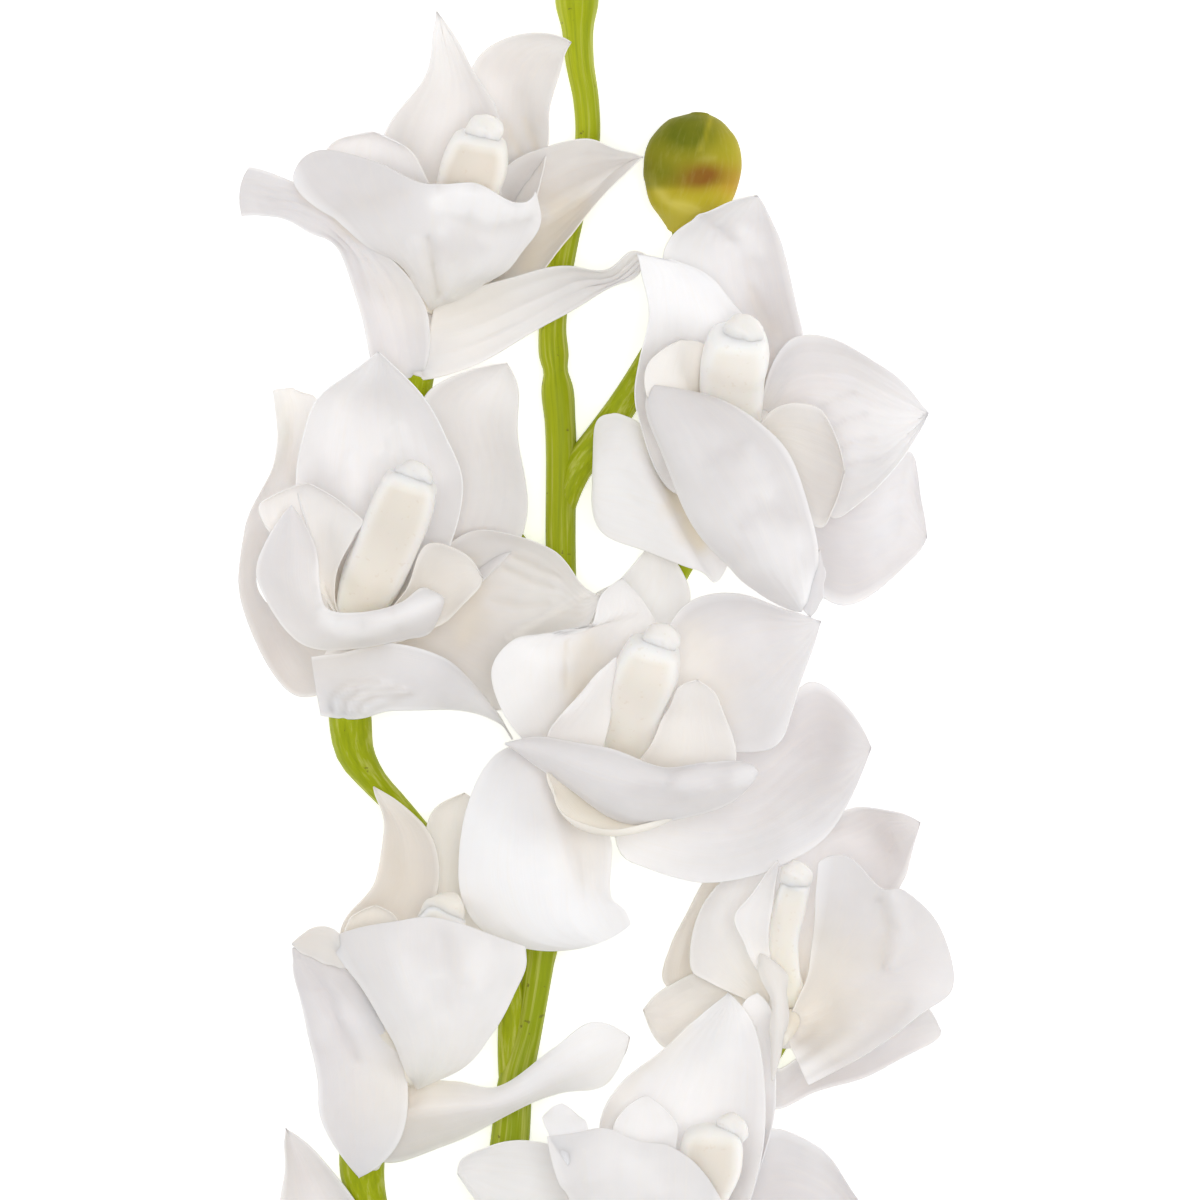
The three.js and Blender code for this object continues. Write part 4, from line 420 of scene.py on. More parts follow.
      [-79.6,-143,18, -74,-144,12, -67,-143.3,15], [-79,-132.6,15]]),
    "petal_left": ((0.5, 0.1),
     [[-66,-192,15], [-88,-180,16, -84,-190,9, -78,-198,14], [-103,-180,12, -101,-190,4, -97,-199,10],
      [-115,-185,11, -114,-190,7, -111,-196,9], [-120,-192,9]]),
    "petal_right": ((0.5, 0.1),
     [[-58,-194,16], [-42,-180,20, -44,-188,16, -48,-196,18], [-30,-182,20, -31,-190,17, -35,-197,18],
      [-22,-190,20]]),
    "sepal_left": ((0.5, 0.1),
     [[-66,-202,15], [-82,-206,10, -78,-212,5.5, -72,-216,11], [-94,-222,6, -88,-228,-0.3, -80,-230,7],
      [-98,-236,6, -94,-240,2.5, -89,-240,6], [-98,-248,5]]),
    "sepal_right": ((0.5, 0.1),
     [[-60,-203,16], [-54,-210,20, -57,-214,17, -62,-216,18], [-50,-226,20, -55,-229,17, -61,-230,18],
      [-54,-242,18, -57,-243,17, -60,-242,18], [-58,-250,18]])},
   "lip": {
    "front": ((0.5, 0.1),
     [[-64,-204,22], [-72,-203,32, -68,-207,34, -63,-208.5,35, -58,-207,34, -54,-203,32],
      [-80,-203,40, -72,-210,42, -63,-212,44, -54,-210,42, -46,-203,40],
      [-82,-206,47, -73,-214,46, -63,-217,47, -53,-214,46, -44,-206,47],
      [-80,-213,49, -72,-222,46, -63,-225,45, -54,-222,46, -46,-213,49]]),
    "lobe_left": ((0.5, 0.1),
     [[-64,-203.5,28], [-76,-201,30, -76,-197,32, -73,-192,31],
      [-78,-198,38, -78,-194,39, -75,-188,39], [-77,-190,43]]),
    "lobe_right": ((0.5, 0.1),
     [[-62,-203.5,28], [-51,-201,30, -51,-197,32, -54,-192,31],
      [-49,-198,38, -49,-194,39, -52,-188,39], [-50,-190,43]])},
  },
}

# How single blades differ from the usual: see add_blade. A stroke lists [x, y] points, the
# stroke's width, how far the blade rises along it, and how much warmer and darker it turns. The
# darkening is painted shade along folds and hollows, and a painted highlight where it is below 0;
# the warmth is partly the tissue's own tan and partly painted warm shade in hollows.
DETAIL = {
  "bloom_1.dorsal": {"ridges": 3, "ridge_depth": 0.12},
  "bloom_1.petal_right_up": {"strokes": (
    ([[-30,138], [-20,141], [-8,139]], 3.5, 0, 0, -0.3),
    ([[-24,120], [-20,112], [-18,106]], 1.6, -0.3, 0.3, 0.1),
    ([[-19,121], [-16,113], [-15,108]], 1.2, -0.2, 0.3, 0.1))},
  "bloom_1.petal_right": {"strokes": (
    ([[-17,84], [-10,94], [-5,99]], 6, 0.4, 0.5, 0.2),
    ([[-14,112], [-3,114], [6,112]], 3, 0.2, 0, -0.25))},
  "bloom_1.sepal_right": {"ridges": 4, "ridge_depth": 0.35, "sweep": 0.3},
  "bloom_1.sepal_left": {"ridges": 5, "ridge_depth": 0.25, "strokes": (
    ([[-75,103], [-67,97], [-60,91]], 2.5, -0.6, 0.5, 0.3),)},
  "bloom_1.front": {"strokes": (
    ([[-46,89], [-44,82], [-42,76]], 3, 1, 0, 0), ([[-40,91], [-39,84], [-38,77]], 2.4, 1, 0, 0),
    ([[-43,90], [-41.5,83], [-40,77]], 1.8, -0.6, 0.1, 0.2),
    ([[-41,103], [-37,95], [-28,91.5], [-18,94]], 3, -0.7, 0.05, 0.15),
    ([[-66,96], [-58,99], [-50,101]], 3.5, -0.6, 0.05, 0.1),
    ([[-40,99], [-32,100], [-24,97]], 4.5, 0.9, 0, -0.9), ([[-40,88], [-30,87]], 4.5, -0.6, 0, 0.25),
    ([[-20,96], [-17,101]], 2.5, 0.5, 0, -0.5), ([[-51,108.3], [-49.5,108]], 1.2, 0.9, 0, -0.6))},
  "bloom_2.front": {"strokes": (
    ([[26,33.5], [30,37], [35,40]], 3, -0.7, 0, 0.15),
    ([[37,37], [40,30], [41,26]], 3.5, 0.8, 0, -0.25), ([[38,8], [47,14]], 6, 1.2, 0, -0.2),
    ([[35,18], [39,21], [44,22.5], [49,21]], 3, -0.7, 0, 0.15),
    ([[51,0], [55,8]], 2.5, 0.5, 0, -0.5))},
  "bloom_2.petal_right": {"ridges": 6, "ridge_depth": 0.16, "veins": 17, "vein_depth": 0.1,
    "strokes": (
    ([[54,47.5], [58,50], [64,52]], 0.8, -0.4, 0, 0.2),
    ([[57.5,43], [62,45.5], [67,46.5]], 0.8, -0.4, 0, 0.2),
    ([[60,38], [64,40], [69,40.5]], 0.8, -0.4, 0, 0.2),
    ([[61,33.5], [65,35], [70,35.5]], 0.8, -0.4, 0, 0.2))},
  "bloom_2.sepal_right": {"strokes": (
    ([[53,19], [60,22], [65,26]], 1.8, -0.6, 0.1, 0.3),)},
  "bloom_2.sepal_left": {"strokes": (
    ([[18,27], [22,22], [25,14]], 4, 0, 0.9, 0.2),)},
  "bloom_2.dorsal": {"strokes": (
    ([[25,96], [29,93], [33,90]], 2.4, -0.8, 0, 0.15), ([[36,92], [40,88]], 4, 0.6, 0, -0.3),
    ([[38,78], [41,71], [45,67]], 2.4, -0.3, 0.15, 0.25))},
  "bloom_3.dorsal": {"strokes": (
    ([[-64,16], [-64,26], [-63,36]], 2.5, -0.6, 0, 0.15),
    ([[-56,24], [-52,38], [-50,43]], 2.2, 0.8, 0, -0.1),
    ([[-58,22], [-57,28], [-56,34]], 1.8, -0.6, 0, 0.15))},
  "bloom_3.petal_left": {"strokes": (
    ([[-77.5,53], [-78,42], [-78,30]], 2.2, -0.6, 0.1, 0.2),)},
  "bloom_3.sepal_right": {"strokes": (
    ([[-24,8], [-17,4.5], [-12,3]], 1.2, -0.4, 0.1, 0.15),
    ([[-22,11], [-15,7.5], [-10,5.5]], 1.2, -0.4, 0.1, 0.15),
    ([[-27,0], [-20,-1.5], [-13,-1]], 1.2, -0.4, 0.1, 0.15),
    ([[-33,9], [-32,0], [-34,-9]], 5, 0, 0.3, 0.3),
    ([[-23,-9.8], [-14,-4.5], [-3,1.2]], 0.8, 0.6, 0.1, -0.5),
    ([[-16,-8], [-6,-3.2]], 4, 0, 0.1, 0.35))},
  "bloom_3.front": {"strokes": (
    ([[-70,10], [-69.6,3], [-68,-2]], 1.5, 0.3, 0, -0.7),
    ([[-69,-3], [-66,-6.5], [-59,-7.8], [-51,-4.8], [-41,0]], 2.4, 0.5, 0, -0.5))},
  "bloom_3.sepal_low": {"strokes": (
    ([[-67,-28], [-67.5,-24], [-63,-20.5], [-55,-20]], 0.9, 0, 0.1, 0.3),
    ([[-65.5,-28], [-65.4,-24.2], [-61,-21.2], [-52,-20.7]], 1.1, 0.9, 0, -0.15),
    ([[-64,-28], [-63.5,-24.5], [-59,-22], [-50,-21.5]], 0.9, 0, 0.1, 0.3),
    ([[-62.2,-28], [-61.5,-25], [-57,-22.7], [-48.5,-22.5]], 1.1, 0.9, 0, -0.15),
    ([[-60.5,-28], [-59.5,-25.5], [-55,-23.5], [-47,-23.5]], 0.9, 0, 0.1, 0.3),
    ([[-58.7,-28.3], [-57,-25.8], [-51.5,-24.3]], 1.1, 0.8, 0, -0.1))},
  "bloom_4.petal_left": {"strokes": (
    ([[-22,-12], [-21,-20], [-17,-30]], 8, 0, 0, -0.45),
    ([[-8.5,-10], [-8.8,-16], [-8.4,-22]], 0.7, -0.4, 0.2, 0.2),
    ([[-3,-10], [-4,-18], [-6,-25]], 5, 0, 0.35, 0.05))},
  "bloom_4.pouch": {"warm": 0.8, "reach": 30},
  "bloom_4.sepal_left": {"ridges": 3, "ridge_depth": 0.15, "strokes": (
    ([[-4,-35], [-6,-50], [-4,-70]], 6, 0, 0.2, 0),)},
  "bloom_4.front": {"strokes": (
    ([[-1,-32], [8,-40], [16,-45], [26,-46]], 2.5, 0.8, 0, 0), ([[8,-48], [20,-50]], 4, -0.5, 0, 0.1),
    ([[17,-45.5], [20,-43.3], [26,-41.7]], 0.9, 0.4, 0, 0.25),
    ([[34,-45], [37,-42.5]], 3, 0.4, 0, -0.4))},
  "bloom_4.petal_right": {"strokes": (
    ([[22,-9], [23,-19], [29,-29]], 9, 0, 0.35, -0.05),)},
  "bloom_5.front": {"strokes": (
    ([[-40,-84], [-37,-94], [-38,-102]], 5, -1.2, 0, 0.1), ([[-48,-90], [-46,-100]], 5, 0.8, 0, -0.1),
    ([[-29,-86], [-31,-96]], 4, 0.6, 0, -0.2))},
  "bloom_5.sepal_left": {"strokes": (
    ([[-75,-90], [-69,-97], [-66,-105], [-61,-115]], 2.2, -0.9, 0, 0.25),
    ([[-80,-86], [-74,-98], [-70,-110]], 3, 0.6, 0, -0.1))},
  "bloom_5.sepal_right": {"strokes": (
    ([[-36,-114], [-20,-108], [-8,-101]], 2, -0.5, 0.1, 0.2),)},
  "bloom_6.front": {"veins": 5, "vein_depth": 0.03, "warm": 0.2, "strokes": (
    ([[54,-85], [57,-97], [58,-108]], 14, 0, 0.25, 0.15),
    ([[66,-78], [68,-90], [62,-104]], 6, 0.5, 0, -0.1),
    ([[73,-74], [76,-82], [73,-91]], 2.6, 1, 0, -0.1),
    ([[70,-76], [72,-83], [70,-92]], 2.4, -0.8, 0.1, 0.15),
    ([[58,-114], [67,-109], [76,-101]], 3.5, -0.8, 0, 0.2))},
  "bloom_6.sepal_left": {"ridges": 4, "ridge_depth": 0.2},
  "bloom_6.petal_back": {"ridges": 5, "ridge_depth": 0.2},
  "bloom_7.front": {"strokes": (
    ([[-8,-138], [-6,-145], [-5,-150]], 4, -1, 0, 0.15), ([[8,-140], [14,-147]], 5, 0.8, 0, -0.15))},
  "bloom_7.dorsal": {"strokes": (
    ([[1,-131], [10,-118], [22,-107]], 3, -0.3, 0.3, 0.15),)},
}

# ---------------------------------------------------------------- curves and meshes

def slopes(rows, steps):
    """Three-point slopes through the rows, with evenly rounded ends."""
    rise = np.diff(rows, axis=0) / steps[:, None]
    if len(rows) == 2:
        return np.repeat(rise, 2, axis=0)
    out = np.empty_like(rows)
    before, after = steps[:-1, None], steps[1:, None]
    out[1:-1] = (rise[:-1] * after + rise[1:] * before) / (before + after)
    out[0] = 2 * rise[0] - out[1]
    out[-1] = 2 * rise[-1] - out[-2]
    return out


def spline(rows, knots, at):
    """Points at the parameters "at" of the smooth curve through the rows at their knots."""
    rows = np.asarray(rows, float)
    steps = np.diff(knots)
    slope = slopes(rows, steps)
    i = np.clip(np.searchsorted(knots, at, side="right") - 1, 0, len(steps) - 1)
    h = steps[i][:, None]
    f = ((at - knots[i]) / steps[i])[:, None]
    return ((2 * f**3 - 3 * f**2 + 1) * rows[i] + (f**3 - 2 * f**2 + f) * h * slope[i]
            + (3 * f**2 - 2 * f**3) * rows[i + 1] + (f**3 - f**2) * h * slope[i + 1])


def knots_along(points, power):
    """Knots from 0 to 1 spaced by a power of the distance between the points."""
    gaps = np.linalg.norm(np.diff(points, axis=0), axis=1) ** power
    knots = np.concatenate([[0], np.cumsum(gaps)])
    return knots / knots[-1]


def unit(vectors):
    return vectors / np.maximum(np.linalg.norm(vectors, axis=-1, keepdims=True), 1e-9)


def smooth(x, low, high):
    """0 below low, 1 above high, and an even S between them."""
    f = np.clip((x - low) / (high - low), 0, 1)
    return f * f * (3 - 2 * f)


def lumps(points, size, seed):
    """Smooth noise from -1 to 1 at the points, with lumps of about that size."""
    shift = Vector((seed * 7.31, seed * 3.17, seed * 5.73))
    flat = points.reshape(-1, 3) / size
    return np.array([noise.noise(Vector(p) + shift) for p in flat]).reshape(points.shape[:-1])


class Parts:
    """Vertices, faces and per-vertex values collected for one mesh."""

    def __init__(self):
        self.points, self.faces, self.blade, self.tint = [], [], [], []
        self.count = 0

    def add(self, points, faces, blade, tint):
        """Takes in one closed body, turned so that its faces look outward."""
        corners = (points - points.mean(axis=0))[[(*face[:3], face[-1]) for face in faces]]
        halves = np.cross(corners[:, 1], corners[:, 2]) + np.cross(corners[:, 2], corners[:, 3])
        if (corners[:, 0] * halves).sum() < 0:
            faces = [face[::-1] for face in faces]
        self.points.append(points)
        self.blade.append(blade)
        self.tint.append(tint)
        self.faces += [tuple(i + self.count for i in face) for face in faces]
        self.count += len(points)

    def build(self, name, material, slot, node):
        """One smooth mesh object in metres that stands for the CAD node."""
        points = (np.concatenate(self.points) - TABLE_ORIGIN) * MM
        mesh = bpy.data.meshes.new(name)
        mesh.from_pydata(points.tolist(), [], self.faces)
        for key, rows in (("blade", self.blade), ("tint", self.tint)):
            values = np.concatenate(rows).astype(np.float32)
            attribute = mesh.attributes.new(key, "FLOAT_VECTOR", "POINT")
            attribute.data.foreach_set("vector", values.ravel())
        mesh.polygons.foreach_set("use_smooth", [True] * len(mesh.polygons))
        mesh.validate()
        mesh.update()
        piece = bpy.data.objects.new(name, mesh)
        bpy.context.scene.collection.objects.link(piece)
        mesh.materials.append(material)
        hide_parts(node)
        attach(piece, "root")


def sheet(parts, grid, normal, thick, blade, tint, closed):
    """A thin closed leaf round the grid of points. closed tells whether the first and the last
    row are a single point each."""
    rows, columns = grid.shape[:2]
    keep = np.arange(rows * columns).reshape(rows, columns)
    for row, is_point in ((0, closed[0]), (rows - 1, closed[1])):
        if is_point:
            keep[row] = keep[row, columns // 2]
    used, index = np.unique(keep, return_inverse=True)
    index = index.reshape(rows, columns)
    half = normal * (thick[..., None] / 2)
    points = [(grid + side * half).reshape(-1, 3)[used] for side in (1, -1)]
    count = len(used)
    faces = []
    corners = (index[:-1, :-1], index[:-1, 1:], index[1:, 1:], index[1:, :-1])
    for quad in np.stack(corners, axis=-1).reshape(-1, 4).tolist():
        face = list(dict.fromkeys(quad))
        if len(face) > 2:
            faces.append(face)
            faces.append([i + count for i in reversed(face)])
    sides = (index[0, :-1], index[:-1, -1], index[-1, :0:-1], index[:0:-1, 0])
    rim = np.concatenate(sides).tolist()
    for a, b in zip(rim, rim[1:] + rim[:1]):
        if a != b:
            faces.append([b, a, a + count, b + count])
    values = [np.tile(v.reshape(-1, 3)[used], (2, 1)) for v in (blade, tint)]
    parts.add(np.concatenate(points), faces, *values)


# ---------------------------------------------------------------- petals, sepals and lips

CELL = 1.0                    # size of a blade's grid cells
FEWEST_ALONG, FEWEST_ACROSS = 16, 12  # grid steps of the smallest blades
RIM_STEP = 0.25               # where the first step lies, as a part of the usual one
TIP_PULL = 0.1                # how far the steps are drawn toward a pointed tip
MARGIN = 0.3                  # thickness at a blade's margin
DENT, DENT_SIZE = 0.5, 16     # depth and size of the soft dents
WAVE, WAVES = 0.35, 3         # height and number of the waves along a margin
DRIFT, DRIFT_SIZE = 0.12, 22  # how far the veins wander, and over what lengths
SLOPE_SPAN = 20               # the way on which a blade's shading changes by its slope


def steps_for(rows, fewest):
    """Grid steps along lines of points, so that a cell is about CELL long."""
    length = np.linalg.norm(np.diff(rows, axis=0), axis=-1).sum(axis=0).max()
    return max(fewest, 2 * round(length / CELL / 2))


def stations(count):
    """Even steps from 0 to 1, with one more just inside each end that keeps the rim crisp."""
    inset = RIM_STEP / count
    return np.concatenate([[0, inset], np.linspace(0, 1, count + 1)[1:-1], [1 - inset, 1]])


def near_line(places, line, width):
    """1 on a line of [x, y] points, fading to 0 over about the width beside it."""
    line = np.array(line, float)
    least = np.full(places.shape[:-1], np.inf)
    for start, end in zip(line, line[1:]):
        way = end - start
        f = np.clip(((places - start) @ way) / (way @ way), 0, 1)
        away = np.linalg.norm(places - (start + f[..., None] * way), axis=-1)
        fade = width * (0.45 + 0.55 * np.sin(math.pi * np.clip(f, 0.02, 0.98)) ** 0.5)
        least = np.minimum(least, away / fade)
    return np.exp(-least**2)


def loft(ribs):
    """The grid of points over a blade's ribs, its coordinates across and along it from 0 to 1,
    and whether its first and its last row are one point."""
    width = max(len(rib) for rib in ribs) // 3
    rows = np.array([rib * width if len(rib) == 3 else rib for rib in ribs], float)
    cells = rows.reshape(len(ribs), width, 3)
    closed = (len(ribs[0]) == 3, len(ribs[-1]) == 3)
    along = stations(steps_for(cells, FEWEST_ALONG))
    if closed[1]:
        along = np.clip(along + TIP_PULL * np.sin(math.pi * along), 0, 1)
    rails = spline(rows, knots_along(cells[:, width // 2], 0.5), along)
    lines = np.moveaxis(rails.reshape(len(along), width, 3), 1, 0).reshape(width, -1)
    across = stations(steps_for(np.moveaxis(cells, 1, 0), FEWEST_ACROSS))
    grid = spline(lines, np.linspace(0, 1, width), across).reshape(len(across), len(along), 3)
    v, u = np.meshgrid(along, across, indexing="ij")
    return np.moveaxis(grid, 0, 1), u, v, closed


def add_blade(parts, ribs, throat, seed, shading, thick=0.85, warm=0.6, reach=17, veins=9,
              vein_depth=0.05, ridges=0, ridge_depth=0.0, sweep=0.0, strokes=()):
    """Lofts one blade with its relief and adds it to the parts. It carries painted shade, evenly or
    toward one side, and a tan, and turns warm within reach of the throat and along its strokes;
    the tan and the warmth are partly its own colour and partly painted warm shade."""
    grid, u, v, closed = loft(ribs)
    normal = face_normals(grid, closed)
    edge = np.abs(2 * u - 1)
    body = smooth(v, 0.0, 0.25) * (1 - 0.8 * smooth(v, 0.85, 1.0))
    lift = DENT * lumps(grid, DENT_SIZE, seed) * smooth(v, 0.1, 0.5)
    lift += WAVE * edge**3 * np.sin(2 * math.pi * (WAVES * v + 0.37 * seed)) * body
    drift = DRIFT * lumps(grid, DRIFT_SIZE, seed + 50)
    phase = 2 * math.pi * (u + sweep * (v - 0.5) + drift)
    lift += vein_depth * np.cos(phase * veins) * (1 - edge**4) * body
    if ridges:
        lift += ridge_depth * ridge_profile(phase * ridges) * (1 - 0.7 * edge**4) * body

    # Painted shade: the blade darkens by its shading, its slope and its strokes. The tan and the
    # throat's warmth are partly painted warm shade.
    shaded, tan_and_warm_shade, *slope = shading
    away = (grid - grid.mean(axis=(0, 1)))[..., :2] / SLOPE_SPAN
    shade = shaded + (away @ slope if slope else 0 * v)
    near = tan_and_warm_shade + warm * np.exp(-(np.linalg.norm(grid - throat, axis=-1) / reach) ** 2)
    upward = 1 if normal[..., 2].mean() > 0 else -1
    # A stroke's darker value paints shade along a fold, or a highlight where it is below 0.
    for line, spread, rise, warmer, darker in strokes:
        close = near_line(grid[..., :2], line, spread)
        lift += upward * rise * close
        near += warmer * close
        shade += darker * close

    grid = grid + normal * lift[..., None]
    normal = face_normals(grid, closed)
    thickness = MARGIN + (thick - MARGIN) * (1 - edge**3) * (1 - smooth(v, 0.75, 1.0))
    blade = np.stack([u, v, np.full_like(v, (0.618 * seed) % 1)], axis=-1)
    tint = np.stack([np.clip(near, 0, 1), edge, np.clip(shade, 0, 1)], axis=-1)
    sheet(parts, grid, normal, thickness, blade, tint, closed)


def ridge_profile(phase):
    """Rounded ridges with narrow furrows between them, from -1 to 1."""
    return 2 * np.sqrt(np.abs(np.cos(phase / 2)) + 0.02) - 1


def face_normals(grid, closed):
    """Unit normals of a grid of points, even at a first or last row that is one point."""
    out = unit(np.cross(np.gradient(grid, axis=1), np.gradient(grid, axis=0)))
    if closed[0]:
        out[0] = unit(out[1].mean(axis=0))
    if closed[1]:
        out[-1] = unit(out[-2].mean(axis=0))
    return out


DOME_RINGS = (0.15, 0.45, 0.75, 0.93)  # radii of a dome's rings, as parts of the last radius
ROOT_DOME = 0.35                       # height of the dome at a root, as a part of its radius


def add_round(parts, rows, sides, steps, tint, shape=None, dome=0.55):
    """A round body along rows of [x, y, z, radius] with domed ends, the far one as high as dome
    times its radius. shape(t, angle) scales the radius, and tint may be a function of t, the
    angle and the ring's points. In the domes t runs on, below 0 and up to 1 + dome / 10."""
    rows = np.array(rows, float)
    knots = knots_along(rows[:, :3], 1)
    t = np.linspace(0, 1, steps + 1)
    line = spline(rows, knots, t)
    centre, radius = line[:, :3], line[:, 3]
    tangent = unit(np.gradient(centre, axis=0))
    side = unit(np.cross(tangent, [0, 0, 1.0]))
    over = np.cross(side, tangent)
    start = [(0, -ROOT_DOME * math.sqrt(1 - k * k), k) for k in DOME_RINGS]
    body = [(i, 0.0, 1.0) for i in range(steps + 1)]
    end = [(steps, dome * math.sqrt(1 - k * k), k) for k in DOME_RINGS[::-1]]
    angle = np.linspace(0, 2 * math.pi, sides, endpoint=False)
    points, blade, tints = [], [], []
    for i, push, k in start + body + end:
        here = t[i] + 0.1 * push
        scale = shape(here, angle) if shape else np.ones(sides)
        around = np.cos(angle)[:, None] * side[i] + np.sin(angle)[:, None] * over[i]
        middle = centre[i] + tangent[i] * push * radius[i]
        points.append(middle + around * (radius[i] * k * scale)[:, None])
        blade.append(np.stack([angle / (2 * math.pi), np.full(sides, t[i]), np.full(sides, k)], 1))
        tints.append(tint(here, angle, points[-1]) if callable(tint) else np.tile(tint, (sides, 1)))
    faces = []
    last = (len(points) - 1) * sides
    for first in range(0, last, sides):
        for j in range(sides):
            a, b = first + j, first + (j + 1) % sides
            faces.append([a, b, b + sides, a + sides])
    faces += [list(range(sides))[::-1], list(range(last, last + sides))]
    parts.add(np.concatenate(points), faces, np.concatenate(blade), np.concatenate(tints))


# ---------------------------------------------------------------- materials

class Shader:
    """A material's node tree with short ways to add and join nodes."""

    def __init__(self, name):
        self.material = bpy.data.materials.new(name)
        self.material.use_nodes = True
        self.tree = self.material.node_tree
        self.surface = self.tree.nodes["Principled BSDF"]

    def add(self, kind, inputs, **settings):
        made = self.tree.nodes.new("ShaderNode" + kind)
        for key, value in settings.items():
            setattr(made, key, value)
        self.feed(made, inputs)
        return made

    def feed(self, made, inputs):
        for key, value in inputs.items():
            if isinstance(value, bpy.types.NodeSocket):
                self.tree.links.new(value, made.inputs[key])
            else:
                made.inputs[key].default_value = value

    def maths(self, operation, a, b, clamp=False):
        made = self.add("Math", {0: a, 1: b}, operation=operation, use_clamp=clamp)
        return made.outputs[0]

    def split(self, attribute):
        source = self.add("Attribute", {}, attribute_name=attribute)
        return self.add("SeparateXYZ", {0: source.outputs["Vector"]}).outputs

    def mix(self, factor, a, b):
        """Each colour is a socket or its red, green and blue."""
        a, b = [(*c, 1.0) if isinstance(c, tuple) else c for c in (a, b)]
        return self.add("Mix", {0: factor, 6: a, 7: b}, data_type="RGBA").outputs[2]

    def lay(self, base, colour, value, none, most, share=1.0):
        """The colour laid over the base: none of it at one value, its share at the other."""
        return self.mix(self.span(value, none, most, 0.0, share), base, colour)

    def span(self, value, low, high, to_low, to_high):
        return self.add("MapRange", {0: value, 1: low, 2: high, 3: to_low, 4: to_high}).outputs[0]

    def grain(self, scale, detail=2.0, roughness=0.5, vector=None):
        vector = vector or self.add("TexCoord", {}).outputs["Object"]
        inputs = {"Vector": vector, "Scale": scale, "Detail": detail, "Roughness": roughness}
        return self.add("TexNoise", inputs).outputs[0]

    def fibres(self, across, along, shift, detail, roughness):
        """Streaks that run along a piece. across and along are its coordinates with how many
        streaks lie beside and behind one another."""
        place = {i: self.maths("MULTIPLY", *pair) for i, pair in enumerate((across, along))}
        vector = self.add("CombineXYZ", {**place, 2: shift}).outputs[0]
        return self.grain(1.0, detail, roughness, vector)

    def finish(self, colour, rough, bumps, glow, glow_depth, glow_reach, specular):
        """Joins all to the surface. bumps are laid over one another, each as its height,
        strength and distance, and the glow is light that spreads under the surface."""
        normal = {}
        for height, strength, distance in bumps:
            inputs = {"Height": height, "Strength": strength, "Distance": distance, **normal}
            normal = {"Normal": self.add("Bump", inputs).outputs[0]}
        self.feed(self.surface, {
            "Base Color": colour, "Roughness": rough, **normal, "Subsurface Weight": glow,
            "Subsurface Scale": glow_depth, "Subsurface Radius": glow_reach,
            "Specular IOR Level": specular})
        return self.material


def petal_material(name, clean, shade, throat):
    """Waxy white tissue: a clean colour that darkens to a painted shade colour and warms to the
    throat colour where the point's tint says, with fine veins that fan from the root. The warmth is
    partly the tissue's own and partly painted warm shade, and the margins carry painted light."""
    s = Shader(name)
    u, v, which = s.split("blade")
    near, edge, dark = s.split("tint")
    cloud = s.grain(70.0, 3.0)
    drift = s.maths("MULTIPLY", s.maths("SUBTRACT", cloud, 0.5), 0.5)
    # Painted shade: the tint's third value darkens the clean colour toward the shade colour.
    base = s.mix(s.maths("ADD", dark, drift, clamp=True), clean, shade)
    # Painted light: the margins return toward the clean colour, as if lit through the thin tissue.
    base = s.lay(base, clean, edge, 0.86, 0.98, 0.6)
    streaks = s.fibres((u, 46.0), (v, 2.2), which, 3.0, 0.6)
    base = s.lay(base, throat, streaks, 0.52, 0.72, 0.10)
    # The throat's warmth is partly the tissue's own colour and partly painted warm shade.
    base = s.mix(s.maths("MULTIPLY", near, s.span(cloud, 0.2, 0.8, 0.75, 1.0)), base, throat)
    pores = s.grain(2600.0, 1.0)
    bumps = ((streaks, 0.3, 0.0002), (pores, 0.12, 0.00008))
    return s.finish(base, s.span(pores, 0.3, 0.7, 0.5, 0.6), bumps, glow=0.25, glow_depth=0.003,
                    glow_reach=(1.0, 0.8, 0.66), specular=0.35)


def column_material():
    """Cream on the rims and tan on the face, partly its own colours and partly painted light on the
    rims; paler and yellower toward the root as painted light, darker where the tint's first value is
    above 0 as painted shade, and paler where it is below, as on most caps."""
    s = Shader("column_wax")
    shaded, face, low = s.split("tint")
    cloud = s.grain(160.0)
    base = s.mix(s.span(cloud, 0.3, 0.7, 0.0, 0.5), (0.985, 0.965, 0.94), (0.975, 0.95, 0.915))
    base = s.mix(face, base, (0.925, 0.88, 0.81))
    # Painted light at the root, and painted shade where the tint's first value is above 0.
    base = s.mix(s.maths("MULTIPLY", low, 0.6), base, (0.96, 0.91, 0.78))
    base = s.lay(base, (0.785, 0.728, 0.645), shaded, 0.0, 1.0)
    base = s.lay(base, (0.885, 0.85, 0.815), shaded, 0.0, -1.0)
    fleck = s.grain(700.0, 1.0)
    base = s.lay(base, (0.60, 0.45, 0.28), fleck, 0.68, 0.74, 0.12)
    pores = s.grain(1800.0, 1.0)
    bumps = ((cloud, 0.2, 0.0006), (pores, 0.1, 0.00008))
    return s.finish(base, s.span(pores, 0.3, 0.7, 0.42, 0.55), bumps, glow=0.4, glow_depth=0.004,
                    glow_reach=(1.0, 0.8, 0.6), specular=0.35)


